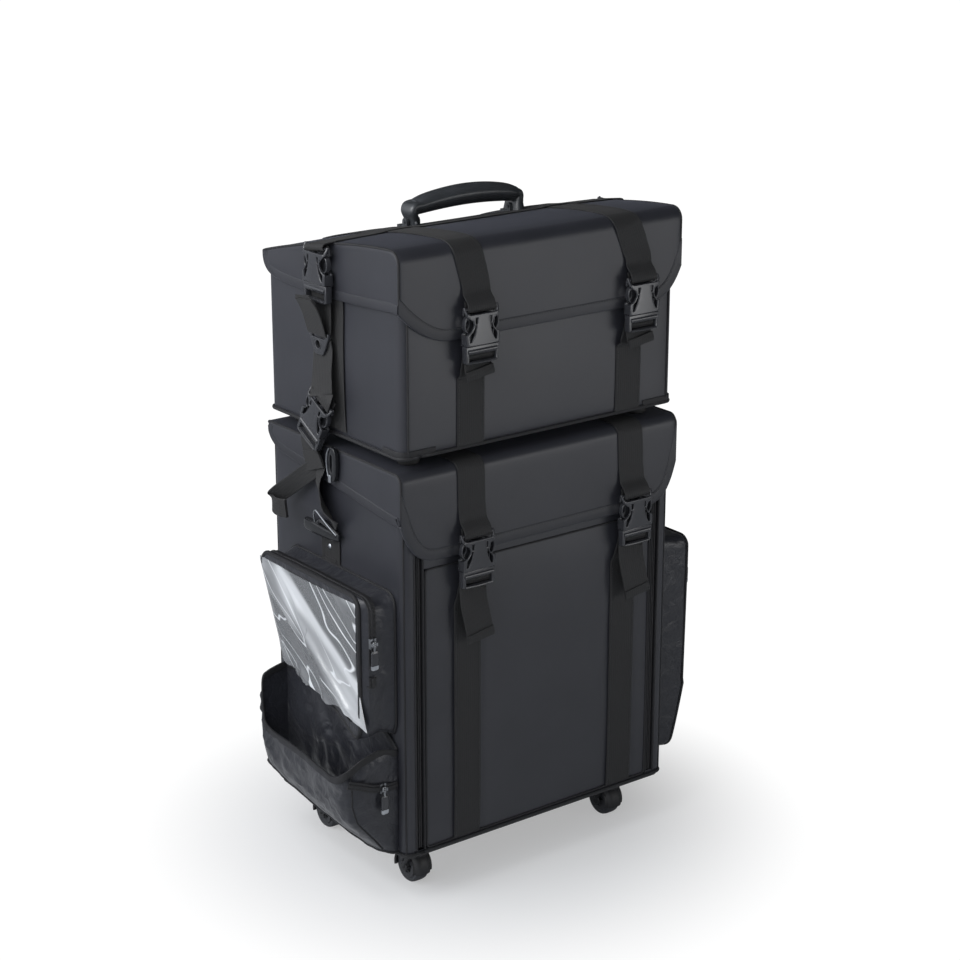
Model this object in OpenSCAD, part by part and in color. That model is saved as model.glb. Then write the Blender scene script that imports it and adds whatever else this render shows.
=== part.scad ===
// Two-piece soft-sided rolling case: a lift-off upper case on a wheeled lower case.
// Millimetres, +Z up, +X to the right seen from the front, front face towards -Y.
// The origin is on the floor under the middle of the case.

/* [Case] */
// Width of both cases across the front
case_w = 396; // [340:2:440]
// Depth of both cases from front to back
case_d = 270; // [240:2:300]
// Thickness of a padded board wall
wall_t = 8; // [5:1:10]
// Radius of the upright edges
corner_r = 11; // [9:1:16]

/* [Lower case] */
// Height of the lower case's floor above the ground
lower_base_z = 65; // [62:1:75]
// Height of the lower case's walls
lower_h = 464; // [440:2:500]
// Width of the posts beside the fold-down front door
post_w = 29; // [26:1:48]
// Height of the shelf above the lower case's underside
shelf_rise = 359; // [350:1:370]
// Height of the open bin below the drawers
bin_h = 108; // [90:1:110]
// Number of drawers behind the door
drawer_count = 3; // [1:1:3]
// Height of one drawer
drawer_h = 64; // [50:1:64]

/* [Upper case] */
// Height of the rubber feet that keep the two cases apart
foot_h = 14; // [8:1:20]
// Height of the upper case's walls
upper_h = 183; // [150:1:230]
// Rise of the upper lid above its walls at the front
lid_rise_front = 55; // [40:1:70]
// Rise of the upper lid above its walls at the back
lid_rise_back = 10; // [10:1:20]

/* [Lids] */
// Thickness of a lid's padded top
lid_t = 8; // [6:1:8]
// Thickness of a lid's skirt and flap
skirt_t = 4; // [2:0.5:5]
// Drop of the lower lid's front flap below the top of the walls
lower_flap_drop = 102; // [80:1:106]
// Drop of the upper lid's front flap below the top of the walls
upper_flap_drop = 46; // [40:1:60]

/* [Straps and buckles] */
// Width of the webbing
web_w = 38; // [30:1:40]
// Thickness of the webbing
web_t = 2; // [1.5:0.1:2.4]
// Width of a buckle
buckle_w = 50; // [48:1:54]
// Height of a closed buckle
buckle_h = 64; // [62:1:68]
// Thickness of a buckle
buckle_d = 12; // [11:0.5:13]
// Place of the upper left front strap
upper_strap_left_x = -106; // [-125:1:-85]
// Place of the upper right front strap
upper_strap_right_x = 127; // [90:1:135]
// Place of the lower left front strap
lower_strap_left_x = -114; // [-125:1:-85]
// Place of the lower right front strap
lower_strap_right_x = 121; // [90:1:130]
// Height of the upper front buckles' tops
upper_buckle_z = 718; // [712:1:724]
// Height of the lower front buckles' tops
lower_buckle_z = 455; // [450:1:462]
// Height of the side buckles' tops, on the upper lid
side_buckle_z = 774; // [768:1:776]
// Lean of the side buckles that join the two cases
chain_lean = 29; // [20:1:32]

/* [Carry handle] */
// Distance between the carry handle's legs
handle_span = 150; // [120:2:170]
// Height of the carry handle above the lid
handle_rise = 45; // [42:1:55]
// Radius of the padded grip
grip_r = 11; // [9:0.5:13]

/* [Trolley handle] */
// Distance between the trolley tubes
tube_gap = 120; // [90:2:150]
// Length of the outer tubes
tube_len = 420; // [360:5:425]
// Radius of the outer tubes
tube_r = 9.4; // [8:0.1:9.6]

/* [Casters] */
// Radius of a wheel
wheel_r = 21.5; // [18:0.5:22]
// Width of a wheel
wheel_w = 21; // [16:1:24]
// Distance of the casters' swivels from the case's sides
caster_inset = 48; // [44:1:60]
// Distance of a wheel's axle behind its swivel
caster_trail = 9; // [6:1:10]

/* [Side pockets] */
// Height of the window pocket's foot above the lower case's underside
window_rise = 196; // [180:1:200]
// Height of the window pocket
window_h = 141; // [120:1:148]
// Height of the bellows pocket's front rim above its foot
bellows_h = 121; // [100:1:125]
// Height of the tall pocket
tall_h = 282; // [240:1:300]
// How far the window pocket stands out from the side
window_pocket_d = 43; // [35:1:50]
// How far the bellows pocket's mouth stands out
bellows_pocket_d = 78; // [60:1:80]
// How far the tall pocket stands out
tall_pocket_d = 72; // [55:1:74]

/* [Hidden] */
$fn = 48;

nylon = "#23252c";
nylon_deep = "#1a1b20";
webbing = "#18181b";
moulding = "#0f0f11";
steel = "#a9adb3";

half_w = case_w / 2;
half_d = case_d / 2;
door_w = case_w - 2 * post_w;
eps = 0.5;
seat_gap = 0.3;

lower_top_z = lower_base_z + lower_h;
shelf_z = lower_base_z + shelf_rise;
shelf_t = 6;
floor_z = lower_base_z + wall_t;
door_gap = 0.5;
door_t = wall_t + 1;
door_low_z = lower_base_z + 4;
door_top_z = shelf_z - 5;
door_pivot_y = -half_d - 0.2;
door_pivot_z = door_low_z + 0.3;

skirt_gap = 1.2;
skirt_out = skirt_gap + skirt_t;
lid_half_w = half_w + skirt_out;
lid_front_y = -half_d - skirt_out;
lower_lid_z = lower_top_z + seat_gap;
lower_lid_top = lower_lid_z + lid_t;
upper_base_z = lower_lid_top + seat_gap + foot_h;
upper_top_z = upper_base_z + upper_h;
upper_lid_z = upper_top_z + seat_gap;

bar_r = 2.2;
ladder_h = 21;
mouth_gap = 0.4;
insert_h = 23;
buckle_back_y = lid_front_y - 4.8;
buckle_mid_y = buckle_back_y - buckle_d / 2;
side_strap_y = 2;
side_buckle_x = lid_half_w + 4.8 + buckle_d / 2;

tube_y = half_d + 22;
tube_wall = 1;
tube_clear = 0.05;
housing_w = tube_gap + 44;
housing_d = 33;
housing_z = lower_base_z + 8;
housing_top_z = lower_top_z - 29;
tube_z = housing_top_z - tube_len;

axle_z = wheel_r;
plate_t = 5;
fork_gap = 0.5;
pan_t = 4;
plate_z = lower_base_z - pan_t - plate_t;

// Plain shapes that several pieces share

module rounded_plate(w, d, r) {
    square([w - 2 * r, d], center = true);
    square([w, d - 2 * r], center = true);
    for (sx = [-1, 1], sy = [-1, 1])
        translate([sx * (w / 2 - r), sy * (d / 2 - r)]) circle(r);
}

module block(low, high) {
    translate(low) cube(high - low);
}

// A side profile given as [y, z] points, made as wide as the two x values say
module along_x(x_low, x_high) {
    translate([x_low, 0, 0]) rotate([90, 0, 90]) linear_extrude(x_high - x_low) children();
}

// A front view given as [x, z] points, made as deep as the two y values say
module along_y(y_low, y_high) {
    translate([0, y_high, 0]) rotate([90, 0, 0]) linear_extrude(y_high - y_low) children();
}

module both_sides() {
    children();
    mirror([1, 0, 0]) children();
}

// A flat band of thickness t that follows a line of points in the plane
function band_dir(p, i) = let (a = p[max(i - 1, 0)], b = p[min(i + 1, len(p) - 1)])
    (b - a) / norm(b - a);
function band_side(p, t) = [for (i = [0:len(p) - 1]) p[i] + t * [-band_dir(p, i)[1], band_dir(p, i)[0]]];
module band(p, t) {
    inner = band_side(p, 0);
    outer = band_side(p, t);
    polygon(concat(inner, [for (i = [len(outer) - 1:-1:0]) outer[i]]));
}

// Buckle halves. The closed buckle's top is at z = 0, its middle plane at y = 0, its face to -y.

socket_h = buckle_h - ladder_h;
mouth_z = -socket_h;
slot_h = 4.4;
socket_cap_z = -2 * bar_r - slot_h;
cavity_d = buckle_d - 5;
arm_w = 4.5;
arm_x = buckle_w / 2 - 6.6;
cavity_x = arm_x + 2.2;
tongue_w = 12;
plug_d = cavity_d - 1.4;

module socket_outline() {
    half = buckle_w / 2;
    waist = half - 2;
    polygon([
        [-half, 0], [-half + 3, 0], [half - 3, 0], [half, 0], [half - 2, socket_cap_z], [waist, -15],
        [waist, -25], [half, -31], [half, mouth_z], [-half, mouth_z], [-half, -31], [-waist, -25],
        [-waist, -15], [-half + 2, socket_cap_z]
    ]);
}

// The socket has a strap bar, a slot below it, a cap and two rails beside the space for the plug
module buckle_socket(front_wall = true, back_wall = false) {
    difference() {
        along_y(-buckle_d / 2, buckle_d / 2) socket_outline();
        block([-web_w / 2 - 1, -buckle_d, socket_cap_z], [web_w / 2 + 1, buckle_d, eps]);
        block([-cavity_x, -cavity_d / 2, mouth_z - eps], [cavity_x, cavity_d / 2, mouth_z + insert_h + 1]);
        if (!front_wall)
            block([-cavity_x, -buckle_d, mouth_z - eps], [cavity_x, 0, mouth_z + insert_h + 1]);
        if (!back_wall)
            block([-cavity_x, 0, mouth_z - eps], [cavity_x, buckle_d, mouth_z + insert_h + 1]);
    }
    translate([-web_w / 2 - 2, 0, -bar_r]) rotate([0, 90, 0]) cylinder(r = bar_r, h = web_w + 4);
}

// The plug has a ladder frame for the webbing, a guide tongue and two arms
module buckle_plug() {
    top = mouth_z - mouth_gap;
    low = -buckle_h;
    difference() {
        block([-buckle_w / 2, -buckle_d / 2 + 1, low], [buckle_w / 2, buckle_d / 2 - 1, top]);
        block([-web_w / 2 - 1, -buckle_d, low + 3], [web_w / 2 + 1, buckle_d, low + 8]);
        block([-web_w / 2 - 1, -buckle_d, low + 11], [web_w / 2 + 1, buckle_d, low + 15]);
    }
    block([-tongue_w / 2, -plug_d / 2, top], [tongue_w / 2, plug_d / 2, top + insert_h - 4]);
    for (s = [-1, 1])
        translate([s * (arm_x - arm_w / 2), 0, 0])
            block([-arm_w / 2, -plug_d / 2, top], [arm_w / 2, plug_d / 2, top + insert_h]);
}

// Loop of webbing round a socket's bar, in side view, with the bar's centre at the origin
module bar_loop() {
    difference() {
        circle(bar_r + 0.1 + web_t);
        circle(bar_r + 0.1);
    }
}

// Webbing looped round a socket's bar, then on through more [y, z] points behind and above it
module bar_web(points) {
    along_x(-web_w / 2, web_w / 2) {
        band(concat([[bar_r + 0.1 + web_t, -bar_r], [bar_r + 3.1, 6]], points), web_t);
        translate([0, -bar_r]) bar_loop();
    }
}
// Webbing sewn to a flat wall at y = 0 that leaves it to pass behind a plug's ladder
module ladder_web(low_z, ladder_z, plug_back_y) {
    along_x(-web_w / 2, web_w / 2)
        band([[0, low_z], [0, ladder_z - 22], [plug_back_y + web_t, ladder_z], [plug_back_y + web_t, ladder_z + 14]],
             web_t);
}

// Places a buckle on the front of the case
module front_buckle_at(x, top_z) {
    translate([x, buckle_mid_y, top_z]) children();
}

// Places a buckle on a side: its face looks away from the case
module side_buckle_at(side, out_x, y, top_z, lean = 0) {
    translate([side * out_x, y, top_z]) rotate([lean, 0, 0]) rotate([0, 0, side * 90]) children();
}

// Lower case

module lower_shell() color(nylon) {
    inner_w = case_w - 2 * wall_t;
    inner_d = case_d - 2 * wall_t;
    difference() {
        translate([0, 0, lower_base_z]) linear_extrude(lower_h) rounded_plate(case_w, case_d, corner_r);
        translate([0, 0, shelf_z + shelf_t]) linear_extrude(lower_h)
            rounded_plate(inner_w, inner_d, corner_r - wall_t + 1);
        translate([0, 0, floor_z]) linear_extrude(shelf_z - floor_z)
            rounded_plate(inner_w, inner_d, corner_r - wall_t + 1);
        block([-door_w / 2 - door_gap, -half_d - eps, door_low_z],
              [door_w / 2 + door_gap, -half_d + door_t + door_gap, door_top_z + door_gap]);
        both_sides() block([tape_x, -half_d - eps, tape_z], [tape_x + tape_w, -half_d + groove_d, tape_top_z]);
    }
}

module base_pan() color(moulding) {
    difference() {
        translate([0, 0, lower_base_z - pan_t]) linear_extrude(pan_t)
            rounded_plate(case_w - 4, case_d - 4, corner_r - 2);
        for (c = caster_places) translate([c[0], c[1], 0]) cylinder(r = stem_r + 1, h = lower_base_z - 1);
    }
}

// The front zip's two coil tapes lie in grooves beside the door
tape_w = 9;
tape_x = door_w / 2 + 3;
tape_z = door_low_z + 3;
tape_top_z = lower_base_z + 394;
tape_t = 1;
groove_d = 3.2;
module zipper_tapes() color(nylon_deep) both_sides()
    block([tape_x, -half_d + groove_d - tape_t, tape_z], [tape_x + tape_w, -half_d + groove_d, tape_top_z]);

// A front slider fits in its groove, under the lid's flap
slider_h = 11;
module front_slider(side) color(moulding)
    translate([side * (tape_x + tape_w / 2), -half_d + groove_d - tape_t, tape_top_z - slider_h - 1]) {
        difference() {
            block([-3.6, -groove_d + 0.1, 0], [3.6, -seat_gap, slider_h]);
            block([-1.4, -groove_d, 2], [1.4, -groove_d + 1, slider_h - 2]);
        }
        block([-2.4, -groove_d + 0.2, -12], [2.4, -groove_d + 1.2, 0]);
    }
module zip_slider_left() front_slider(-1);
module zip_slider_right() front_slider(1);

// Drawers run on ledges between two boards behind the door's posts
rack_clear = 0.4;
board_t = 3;
ledge_w = 6;
ledge_t = 2;
rack_back_y = half_d - wall_t;
rack_front_y = -half_d + door_t + 2;
drawer_half_w = door_w / 2 - 1.5;
board_x = drawer_half_w + rack_clear;
drawer_zone_z = floor_z + bin_h;
drawer_pitch = (shelf_z - drawer_zone_z) / 3;
drawer_depth = rack_back_y - rack_front_y - 4;
function drawer_z(i) = drawer_zone_z + i * drawer_pitch + ledge_t + seat_gap;

module drawer_rack() color(nylon_deep) both_sides() {
    block([board_x, rack_front_y, floor_z], [board_x + board_t, rack_back_y, shelf_z]);
    for (i = [0:drawer_count - 1])
        block([board_x - ledge_w, rack_front_y, drawer_z(i) - ledge_t - seat_gap],
              [board_x, rack_back_y, drawer_z(i) - seat_gap]);
}

drawer_wall = 3;
scoop_r = 20;
module drawer(i) color("#2b2b2f") {
    if (i < drawer_count) translate([0, rack_front_y + 0.6, drawer_z(i)]) difference() {
        block([-drawer_half_w, 0, 0], [drawer_half_w, drawer_depth, drawer_h]);
        block([-drawer_half_w + drawer_wall, drawer_wall, drawer_wall],
              [drawer_half_w - drawer_wall, drawer_depth - drawer_wall, drawer_h + eps]);
        translate([0, drawer_wall + eps, drawer_h]) rotate([90, 0, 0])
            cylinder(r = scoop_r, h = drawer_wall + 2 * eps);
    }
}
module drawer_low() drawer(0);
module drawer_middle() drawer(1);
module drawer_top() drawer(2);

// Side pockets. The bellows pocket gapes at its top and stands out most at its front.

pocket_front_y = -half_d + 13;
pocket_back_y = half_d - 30;
window_low_z = lower_base_z + window_rise;
window_top_z = window_low_z + window_h;
pocket_wall = 2.5;

module window_pocket() color(nylon_deep) {
    out = half_w + window_pocket_d;
    rim = 9;
    difference() {
        translate([-out, 0, 0]) rotate([90, 0, 90]) linear_extrude(window_pocket_d)
            translate([(pocket_front_y + pocket_back_y) / 2, (window_low_z + window_top_z) / 2])
                rounded_plate(pocket_back_y - pocket_front_y, window_top_z - window_low_z, 18);
        block([-out - eps, pocket_front_y + rim, window_low_z + rim],
              [-half_w - pocket_wall, pocket_back_y - rim, window_top_z - rim]);
        block([-out + 14, pocket_front_y + 3 * rim, window_top_z - 2 * rim],
              [-out + 18.6, pocket_back_y - 3 * rim, window_top_z + eps]);
    }
}

module window_sheet() color([0.85, 0.87, 0.9, 0.35]) {
    out = half_w + window_pocket_d;
    rim = 9;
    block([-out + 1, pocket_front_y + rim, window_low_z + rim],
          [-out + 2, pocket_back_y - rim, window_top_z - rim]);
}

bellows_low_z = lower_base_z + 3;
bellows_front_z = bellows_low_z + bellows_h;
bellows_lip_h = 34;
bellows_back_z = bellows_front_z + bellows_lip_h;
bellows_foot_h = bellows_h * 0.3;
// The bellows pocket widens upwards from its foot and towards its front
module bellows_wedge(inset, y_low, y_high, back_out) {
    d = bellows_pocket_d;
    translate([0, 0, bellows_low_z - 1]) linear_extrude(lower_h)
        polygon([[-half_w + eps - inset, y_low], [-half_w - d + inset, y_low],
                 [-half_w - back_out, y_high], [-half_w + eps - inset, y_high]]);
}
module bellows_pocket() color(nylon_deep) {
    d = bellows_pocket_d;
    back_y = pocket_back_y + 10;
    difference() {
        intersection() {
            along_y(pocket_front_y, back_y)
                polygon([[-half_w, bellows_low_z], [-half_w - 14, bellows_low_z],
                         [-half_w - d * 0.66, bellows_low_z + bellows_foot_h], [-half_w - d, bellows_front_z - 8],
                         [-half_w - d, bellows_back_z], [-half_w, bellows_back_z]]);
            bellows_wedge(0, pocket_front_y - eps, back_y + eps, d * 0.52);
        }
        block([-half_w - d - eps, pocket_front_y - eps, bellows_front_z],
              [-half_w + eps, back_y - pocket_wall, bellows_back_z + eps]);
        block([-half_w - d - eps, back_y - pocket_wall - eps, bellows_front_z + 2],
              [-half_w - d * 0.46, back_y + eps, bellows_back_z + eps]);
        intersection() {
            along_y(pocket_front_y + pocket_wall, back_y - pocket_wall)
                polygon([[-half_w - 2, bellows_low_z + 14], [-half_w - d * 0.58, bellows_low_z + bellows_foot_h + 4],
                         [-half_w - d, bellows_front_z - 6], [-half_w - d, bellows_back_z + 2],
                         [-half_w - 2, bellows_back_z + 2]]);
            bellows_wedge(3, pocket_front_y, back_y, d * 0.48);
        }
    }
}

tall_front_y = -half_d * 0.72;
tall_back_y = half_d * 0.72;
tall_low_z = lower_base_z + 4;
tall_top_z = tall_low_z + tall_h;
tall_zip_drop = 26;
tall_zip_z = tall_top_z - tall_zip_drop;
tall_foot = 0.64;
module tall_pocket() color(nylon_deep) {
    out = half_w + tall_pocket_d;
    difference() {
        along_y(tall_front_y, tall_back_y)
            polygon([[half_w, tall_low_z], [half_w + tall_pocket_d * tall_foot, tall_low_z + 4],
                     [out - 6, tall_low_z + tall_zip_drop], [out - 4, tall_zip_z - 2 * tall_zip_drop],
                     [out, tall_zip_z - 18], [out, tall_top_z - 14], [out - 4, tall_top_z],
                     [half_w + tall_pocket_d / 2, tall_top_z + 9], [half_w, tall_top_z + 12]]);
        block([half_w + pocket_wall, tall_front_y + 4, tall_low_z + tall_zip_drop + 4],
              [out - 12, tall_back_y - 4, tall_zip_z - 4]);
        block([out - 20, tall_front_y + 14, tall_zip_z - 9], [out + 1, tall_back_y - 14, tall_zip_z - 4.5]);
    }
}

// A pocket's slider carries a pull tab that hangs from its own small pin
pull_pin_r = 1;
pull_pin_y = -6.3;
module pocket_slider() {
    difference() {
        block([-4, -3.8, -6], [4, -0.3, 6]);
        block([-1, -4, -7], [1, -2.6, 7]);
    }
    for (s = [-1, 1]) block([s * 3 - 1, pull_pin_y - 1.2, -2], [s * 3 + 1, -3.8, 2]);
    translate([-3.4, pull_pin_y, 0]) rotate([0, 90, 0]) cylinder(r = pull_pin_r, h = 6.8, $fn = 24);
}
module pull_tab() {
    difference() {
        union() {
            translate([-1.8, pull_pin_y, 0]) rotate([0, 90, 0])
                cylinder(r = pull_pin_r + 1.1, h = 3.6, $fn = 24);
            block([-1.8, pull_pin_y - 0.8, -9], [1.8, pull_pin_y + 0.8, -1.2]);
        }
        translate([-3, pull_pin_y, 0]) rotate([0, 90, 0])
            cylinder(r = pull_pin_r + 0.06, h = 6, $fn = 24);
    }
    block([-5, pull_pin_y - 1.2, -27], [5, pull_pin_y + 1.2, -8]);
    translate([0, pull_pin_y + 1.2, -27]) rotate([90, 0, 0]) cylinder(r = 5, h = 2.4);
}
window_slider_at = [-half_w - window_pocket_d + 8, pocket_front_y, window_low_z + window_h * 0.57];
bellows_slider_at = [-half_w - bellows_pocket_d * 0.31, pocket_front_y, bellows_front_z - bellows_h / 4];
tall_slider_at = [half_w + tall_pocket_d, tall_front_y + 14, tall_zip_z - 6.8];
module window_slider() color(moulding) translate(window_slider_at) pocket_slider();
module window_pull() color(steel) translate(window_slider_at) pull_tab();
module bellows_slider() color(moulding) translate(bellows_slider_at) pocket_slider();
module bellows_pull() color(steel) translate(bellows_slider_at) pull_tab();
module tall_slider() color(moulding) translate(tall_slider_at) rotate([0, 0, 90]) pocket_slider();
module tall_pull() color(steel) translate(tall_slider_at) rotate([0, 0, 90]) pull_tab();

// Side straps that tie the upper case down to the lower case

chain_x = side_buckle_x;
chain_top = [-3, upper_base_z + 46];
function chain_point(across, down) = [
    chain_top[0] + across * cos(chain_lean) + down * sin(chain_lean),
    chain_top[1] + across * sin(chain_lean) - down * cos(chain_lean)
];
clip_y = 4;
clip_z = lower_top_z - 98;
clip_w = web_w + 8;
chain_web_x = side_buckle_x - buckle_d / 2 + 1 - web_t;

// A band of webbing lying beside the case between two places, each [y, z] at the band's middle
module side_band(from, to, x_in, t) {
    d = (to - from) / norm(to - from);
    n = web_w / 2 * [-d[1], d[0]];
    along_x(x_in, x_in + t) polygon([from + n, to + n, to - n, from - n]);
}

module lower_side_straps() color(webbing) both_sides() {
    side_band([clip_y, clip_z + 2], [clip_y, window_top_z + 0.4], half_w, web_t);
    side_band(chain_point(0, buckle_h + 7), [clip_y - 20, clip_z + 0.6 * clip_w], chain_web_x, web_t);
    side_band(chain_point(0, buckle_h - 14), chain_point(0, buckle_h + 7.1), chain_web_x, web_t);
}
module lower_side_plugs() color(moulding) for (side = [-1, 1])
    side_buckle_at(side, chain_x, chain_top[0], chain_top[1], chain_lean) buckle_plug();
// The clip is a slanted plastic loop that turns the lower strap towards the sewn one
module side_clips() color(moulding) both_sides() {
    half = clip_w / 2;
    difference() {
        along_x(half_w + web_t, chain_web_x)
            polygon([[clip_y + half, clip_z - 2], [clip_y + half, clip_z + 0.22 * clip_w],
                     [clip_y - half, clip_z + 0.74 * clip_w], [clip_y - half - 4, clip_z + 0.56 * clip_w],
                     [clip_y - half / 2, clip_z - 2]]);
        along_x(half_w, chain_web_x + buckle_d)
            polygon([[clip_y + half / 2, clip_z + 3], [clip_y + half / 2, clip_z + 0.17 * clip_w],
                     [clip_y - 0.7 * half, clip_z + clip_w / 2], [clip_y - 0.35 * half, clip_z + 3]]);
    }
}
module strap_rivets() color(steel) both_sides()
    translate([half_w + web_t, clip_y, clip_z - 12]) rotate([0, 90, 0]) cylinder(r = 3, h = 1.6);

// Trolley handle at the back

module tube_pair(outer_r, inner_r, low_z, high_z) {
    for (s = [-1, 1]) translate([s * tube_gap / 2, tube_y, low_z]) difference() {
        cylinder(r = outer_r, h = high_z - low_z);
        translate([0, 0, -eps]) cylinder(r = inner_r, h = high_z - low_z + 2 * eps);
    }
}
middle_r = tube_r - tube_wall - tube_clear;
inner_r = middle_r - tube_wall - tube_clear;
grip_low_z = housing_top_z + 9;
grip_top_z = lower_top_z - 4;
housing_foot = 70;
module handle_housing() color(moulding) difference() {
    translate([0, half_d + housing_d / 2, housing_z]) linear_extrude(housing_top_z - housing_z)
        rounded_plate(housing_w, housing_d, 6);
    for (s = [-1, 1]) translate([s * tube_gap / 2, tube_y, tube_z - eps])
        cylinder(r = tube_r + tube_clear, h = lower_h);
    block([-tube_gap / 2 + 16, half_d + 9, housing_z + housing_foot],
          [tube_gap / 2 - 16, half_d + housing_d + eps, housing_top_z + eps]);
}
module outer_tubes() color(steel) tube_pair(tube_r, tube_r - tube_wall, tube_z, housing_top_z);
module middle_tubes() color(steel) {
    tube_pair(middle_r, middle_r - tube_wall, tube_z + 4, housing_top_z + 2);
    translate([0, 0, housing_top_z + 2]) difference() {
        linear_extrude(5) translate([0, tube_y]) rounded_plate(tube_gap + 2 * tube_r, 2 * tube_r - 1, 6);
        for (s = [-1, 1]) translate([s * tube_gap / 2, tube_y, -eps])
            cylinder(r = middle_r - tube_wall, h = 10);
    }
}
module inner_tubes() color(steel) tube_pair(inner_r, inner_r - tube_wall, tube_z + 8, grip_low_z);
button_w = 34;
button_d = 9;
button_clear = 0.3;
button_travel = 3;
module trolley_grip() color(moulding) difference() {
    translate([0, tube_y, grip_low_z]) linear_extrude(grip_top_z - grip_low_z)
        rounded_plate(tube_gap + 2 * tube_r + 12, 2 * tube_r, 7);
    block([-button_w / 2 - button_clear, tube_y - button_d / 2 - button_clear, grip_low_z + 4],
          [button_w / 2 + button_clear, tube_y + button_d / 2 + button_clear, grip_top_z + eps]);
}
module release_button() color("#3a3a3e")
    block([-button_w / 2, tube_y - button_d / 2, grip_low_z + 4 + button_travel + 0.4],
          [button_w / 2, tube_y + button_d / 2, grip_top_z + 1.2]);

// Straps that end the lid straps' run, sewn down the back of both cases
module back_straps() color(webbing) for (x = [lower_strap_left_x, lower_strap_right_x])
    block([x - web_w / 2, half_d, lower_base_z + 6], [x + web_w / 2, half_d + web_t, lower_top_z - 6]);

// Front door with its straps, plugs and hanging strap tails

module front_door() color(nylon)
    along_y(-half_d, -half_d + door_t)
        translate([0, (door_low_z + door_gap + door_top_z) / 2])
            rounded_plate(door_w, door_top_z - door_low_z - door_gap, 6);
plug_back = buckle_mid_y + buckle_d / 2 - 1;
module door_straps() color(webbing) for (x = [lower_strap_left_x, lower_strap_right_x])
    translate([x, -half_d, 0]) ladder_web(door_low_z + 3, lower_buckle_z - buckle_h, plug_back + half_d);
module door_plugs() color(moulding) for (x = [lower_strap_left_x, lower_strap_right_x])
    front_buckle_at(x, lower_buckle_z) buckle_plug();
tail_len = 68;
module strap_tails() color(webbing) for (x = [lower_strap_left_x, lower_strap_right_x])
    along_x(x - web_w / 2, x + web_w / 2) {
        z = lower_buckle_z - buckle_h + 9;
        face = buckle_mid_y - buckle_d / 2 + 1 - web_t;
        band([[face, z], [face, z - 10], [face - 4, z - 28], [face - 5, z - 48],
              [face - 1, z - tail_len]], web_t);
    }

// Lower lid: a flat top with side skirts and a front flap with rounded corners

function flap_edge(half, corner_z, low_z, curve_x) = [for (a = [0:10:90])
    [curve_x + (half - curve_x) * cos(a), corner_z - (corner_z - low_z) * sin(a)]];
module flap_view(corner_z, low_z, top_z) {
    right = flap_edge(lid_half_w, corner_z, low_z, half_w - 62);
    left = [for (i = [len(right) - 1:-1:0]) [-right[i][0], right[i][1]]];
    polygon(concat([[-lid_half_w, top_z], [lid_half_w, top_z]], right, left));
}
lower_skirt_back_z = lower_top_z - 24;
lower_skirt_front_z = lower_top_z - 49;
module lower_lid() color(nylon) {
    block([-lid_half_w, lid_front_y, lower_lid_z], [lid_half_w, half_d, lower_lid_top]);
    both_sides() along_x(half_w + skirt_gap, lid_half_w)
        polygon([[half_d - 2, lower_lid_z + 1], [half_d - 2, lower_skirt_back_z],
                 [-half_d + 12, lower_skirt_front_z], [lid_front_y, lower_skirt_front_z + 6],
                 [lid_front_y, lower_lid_z + 1]]);
    along_y(lid_front_y, lid_front_y + skirt_t)
        flap_view(lower_top_z - 48, lower_top_z - lower_flap_drop, lower_lid_top);
}
// The strap runs over a lid, down its flap and out to the socket's bar
module lid_strap(top_points, top_z) {
    translate([0, buckle_mid_y, top_z])
        bar_web(concat([[lid_front_y - buckle_mid_y, 20]], [for (p = top_points) p - [buckle_mid_y, top_z]]));
}
module lower_lid_straps() color(webbing) for (x = [lower_strap_left_x, lower_strap_right_x])
    translate([x, 0, 0])
        lid_strap([[lid_front_y, lower_lid_top], [half_d - 2, lower_lid_top]], lower_buckle_z);
module lower_lid_sockets() color(moulding) for (x = [lower_strap_left_x, lower_strap_right_x])
    front_buckle_at(x, lower_buckle_z) buckle_socket(front_wall = false);

// Upper case

module upper_shell() color(nylon) difference() {
    translate([0, 0, upper_base_z]) linear_extrude(upper_h) rounded_plate(case_w, case_d, corner_r);
    translate([0, 0, upper_base_z + wall_t]) linear_extrude(upper_h)
        rounded_plate(case_w - 2 * wall_t, case_d - 2 * wall_t, corner_r - wall_t + 1);
}
module upper_feet() color("#1c1c1c") for (sx = [-1, 1], sy = [-1, 1])
    translate([sx * (half_w - 30), sy * (half_d - 30), upper_base_z - foot_h]) cylinder(r = 13, h = foot_h);

ring_top_z = side_buckle_z - buckle_h - 34;
ring_x = chain_web_x - 1.5;
ring_h = 25;
module upper_straps() color(webbing) {
    for (x = [upper_strap_left_x, upper_strap_right_x]) {
        translate([x, -half_d, 0])
            ladder_web(upper_base_z + 4, upper_buckle_z - buckle_h, plug_back + half_d);
        block([x - web_w / 2, half_d, upper_base_z + 6], [x + web_w / 2, half_d + web_t, upper_top_z - 4]);
    }
    both_sides() {
        block([half_w, side_strap_y - 12 - web_w / 2, upper_base_z + 8],
              [half_w + web_t, side_strap_y - 12 + web_w / 2, ring_top_z + 24]);
        side_band([side_strap_y, side_buckle_z - buckle_h + 14], [side_strap_y, ring_top_z],
                  chain_web_x, web_t);
        block([half_w + web_t, side_strap_y - 18, ring_top_z + 12],
              [chain_web_x, side_strap_y + 6, ring_top_z + 15]);
        side_band([side_strap_y - 4, ring_top_z - ring_h], [side_strap_y - 4, ring_top_z - 44], chain_web_x,
                  web_t);
        side_band([side_strap_y - 4, ring_top_z - 43], chain_point(0, -19), chain_web_x, web_t);
    }
    for (side = [-1, 1]) side_buckle_at(side, chain_x, chain_top[0], chain_top[1], chain_lean)
        bar_web([[chain_x - chain_web_x, 12], [chain_x - chain_web_x, 22]]);
}
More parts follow.
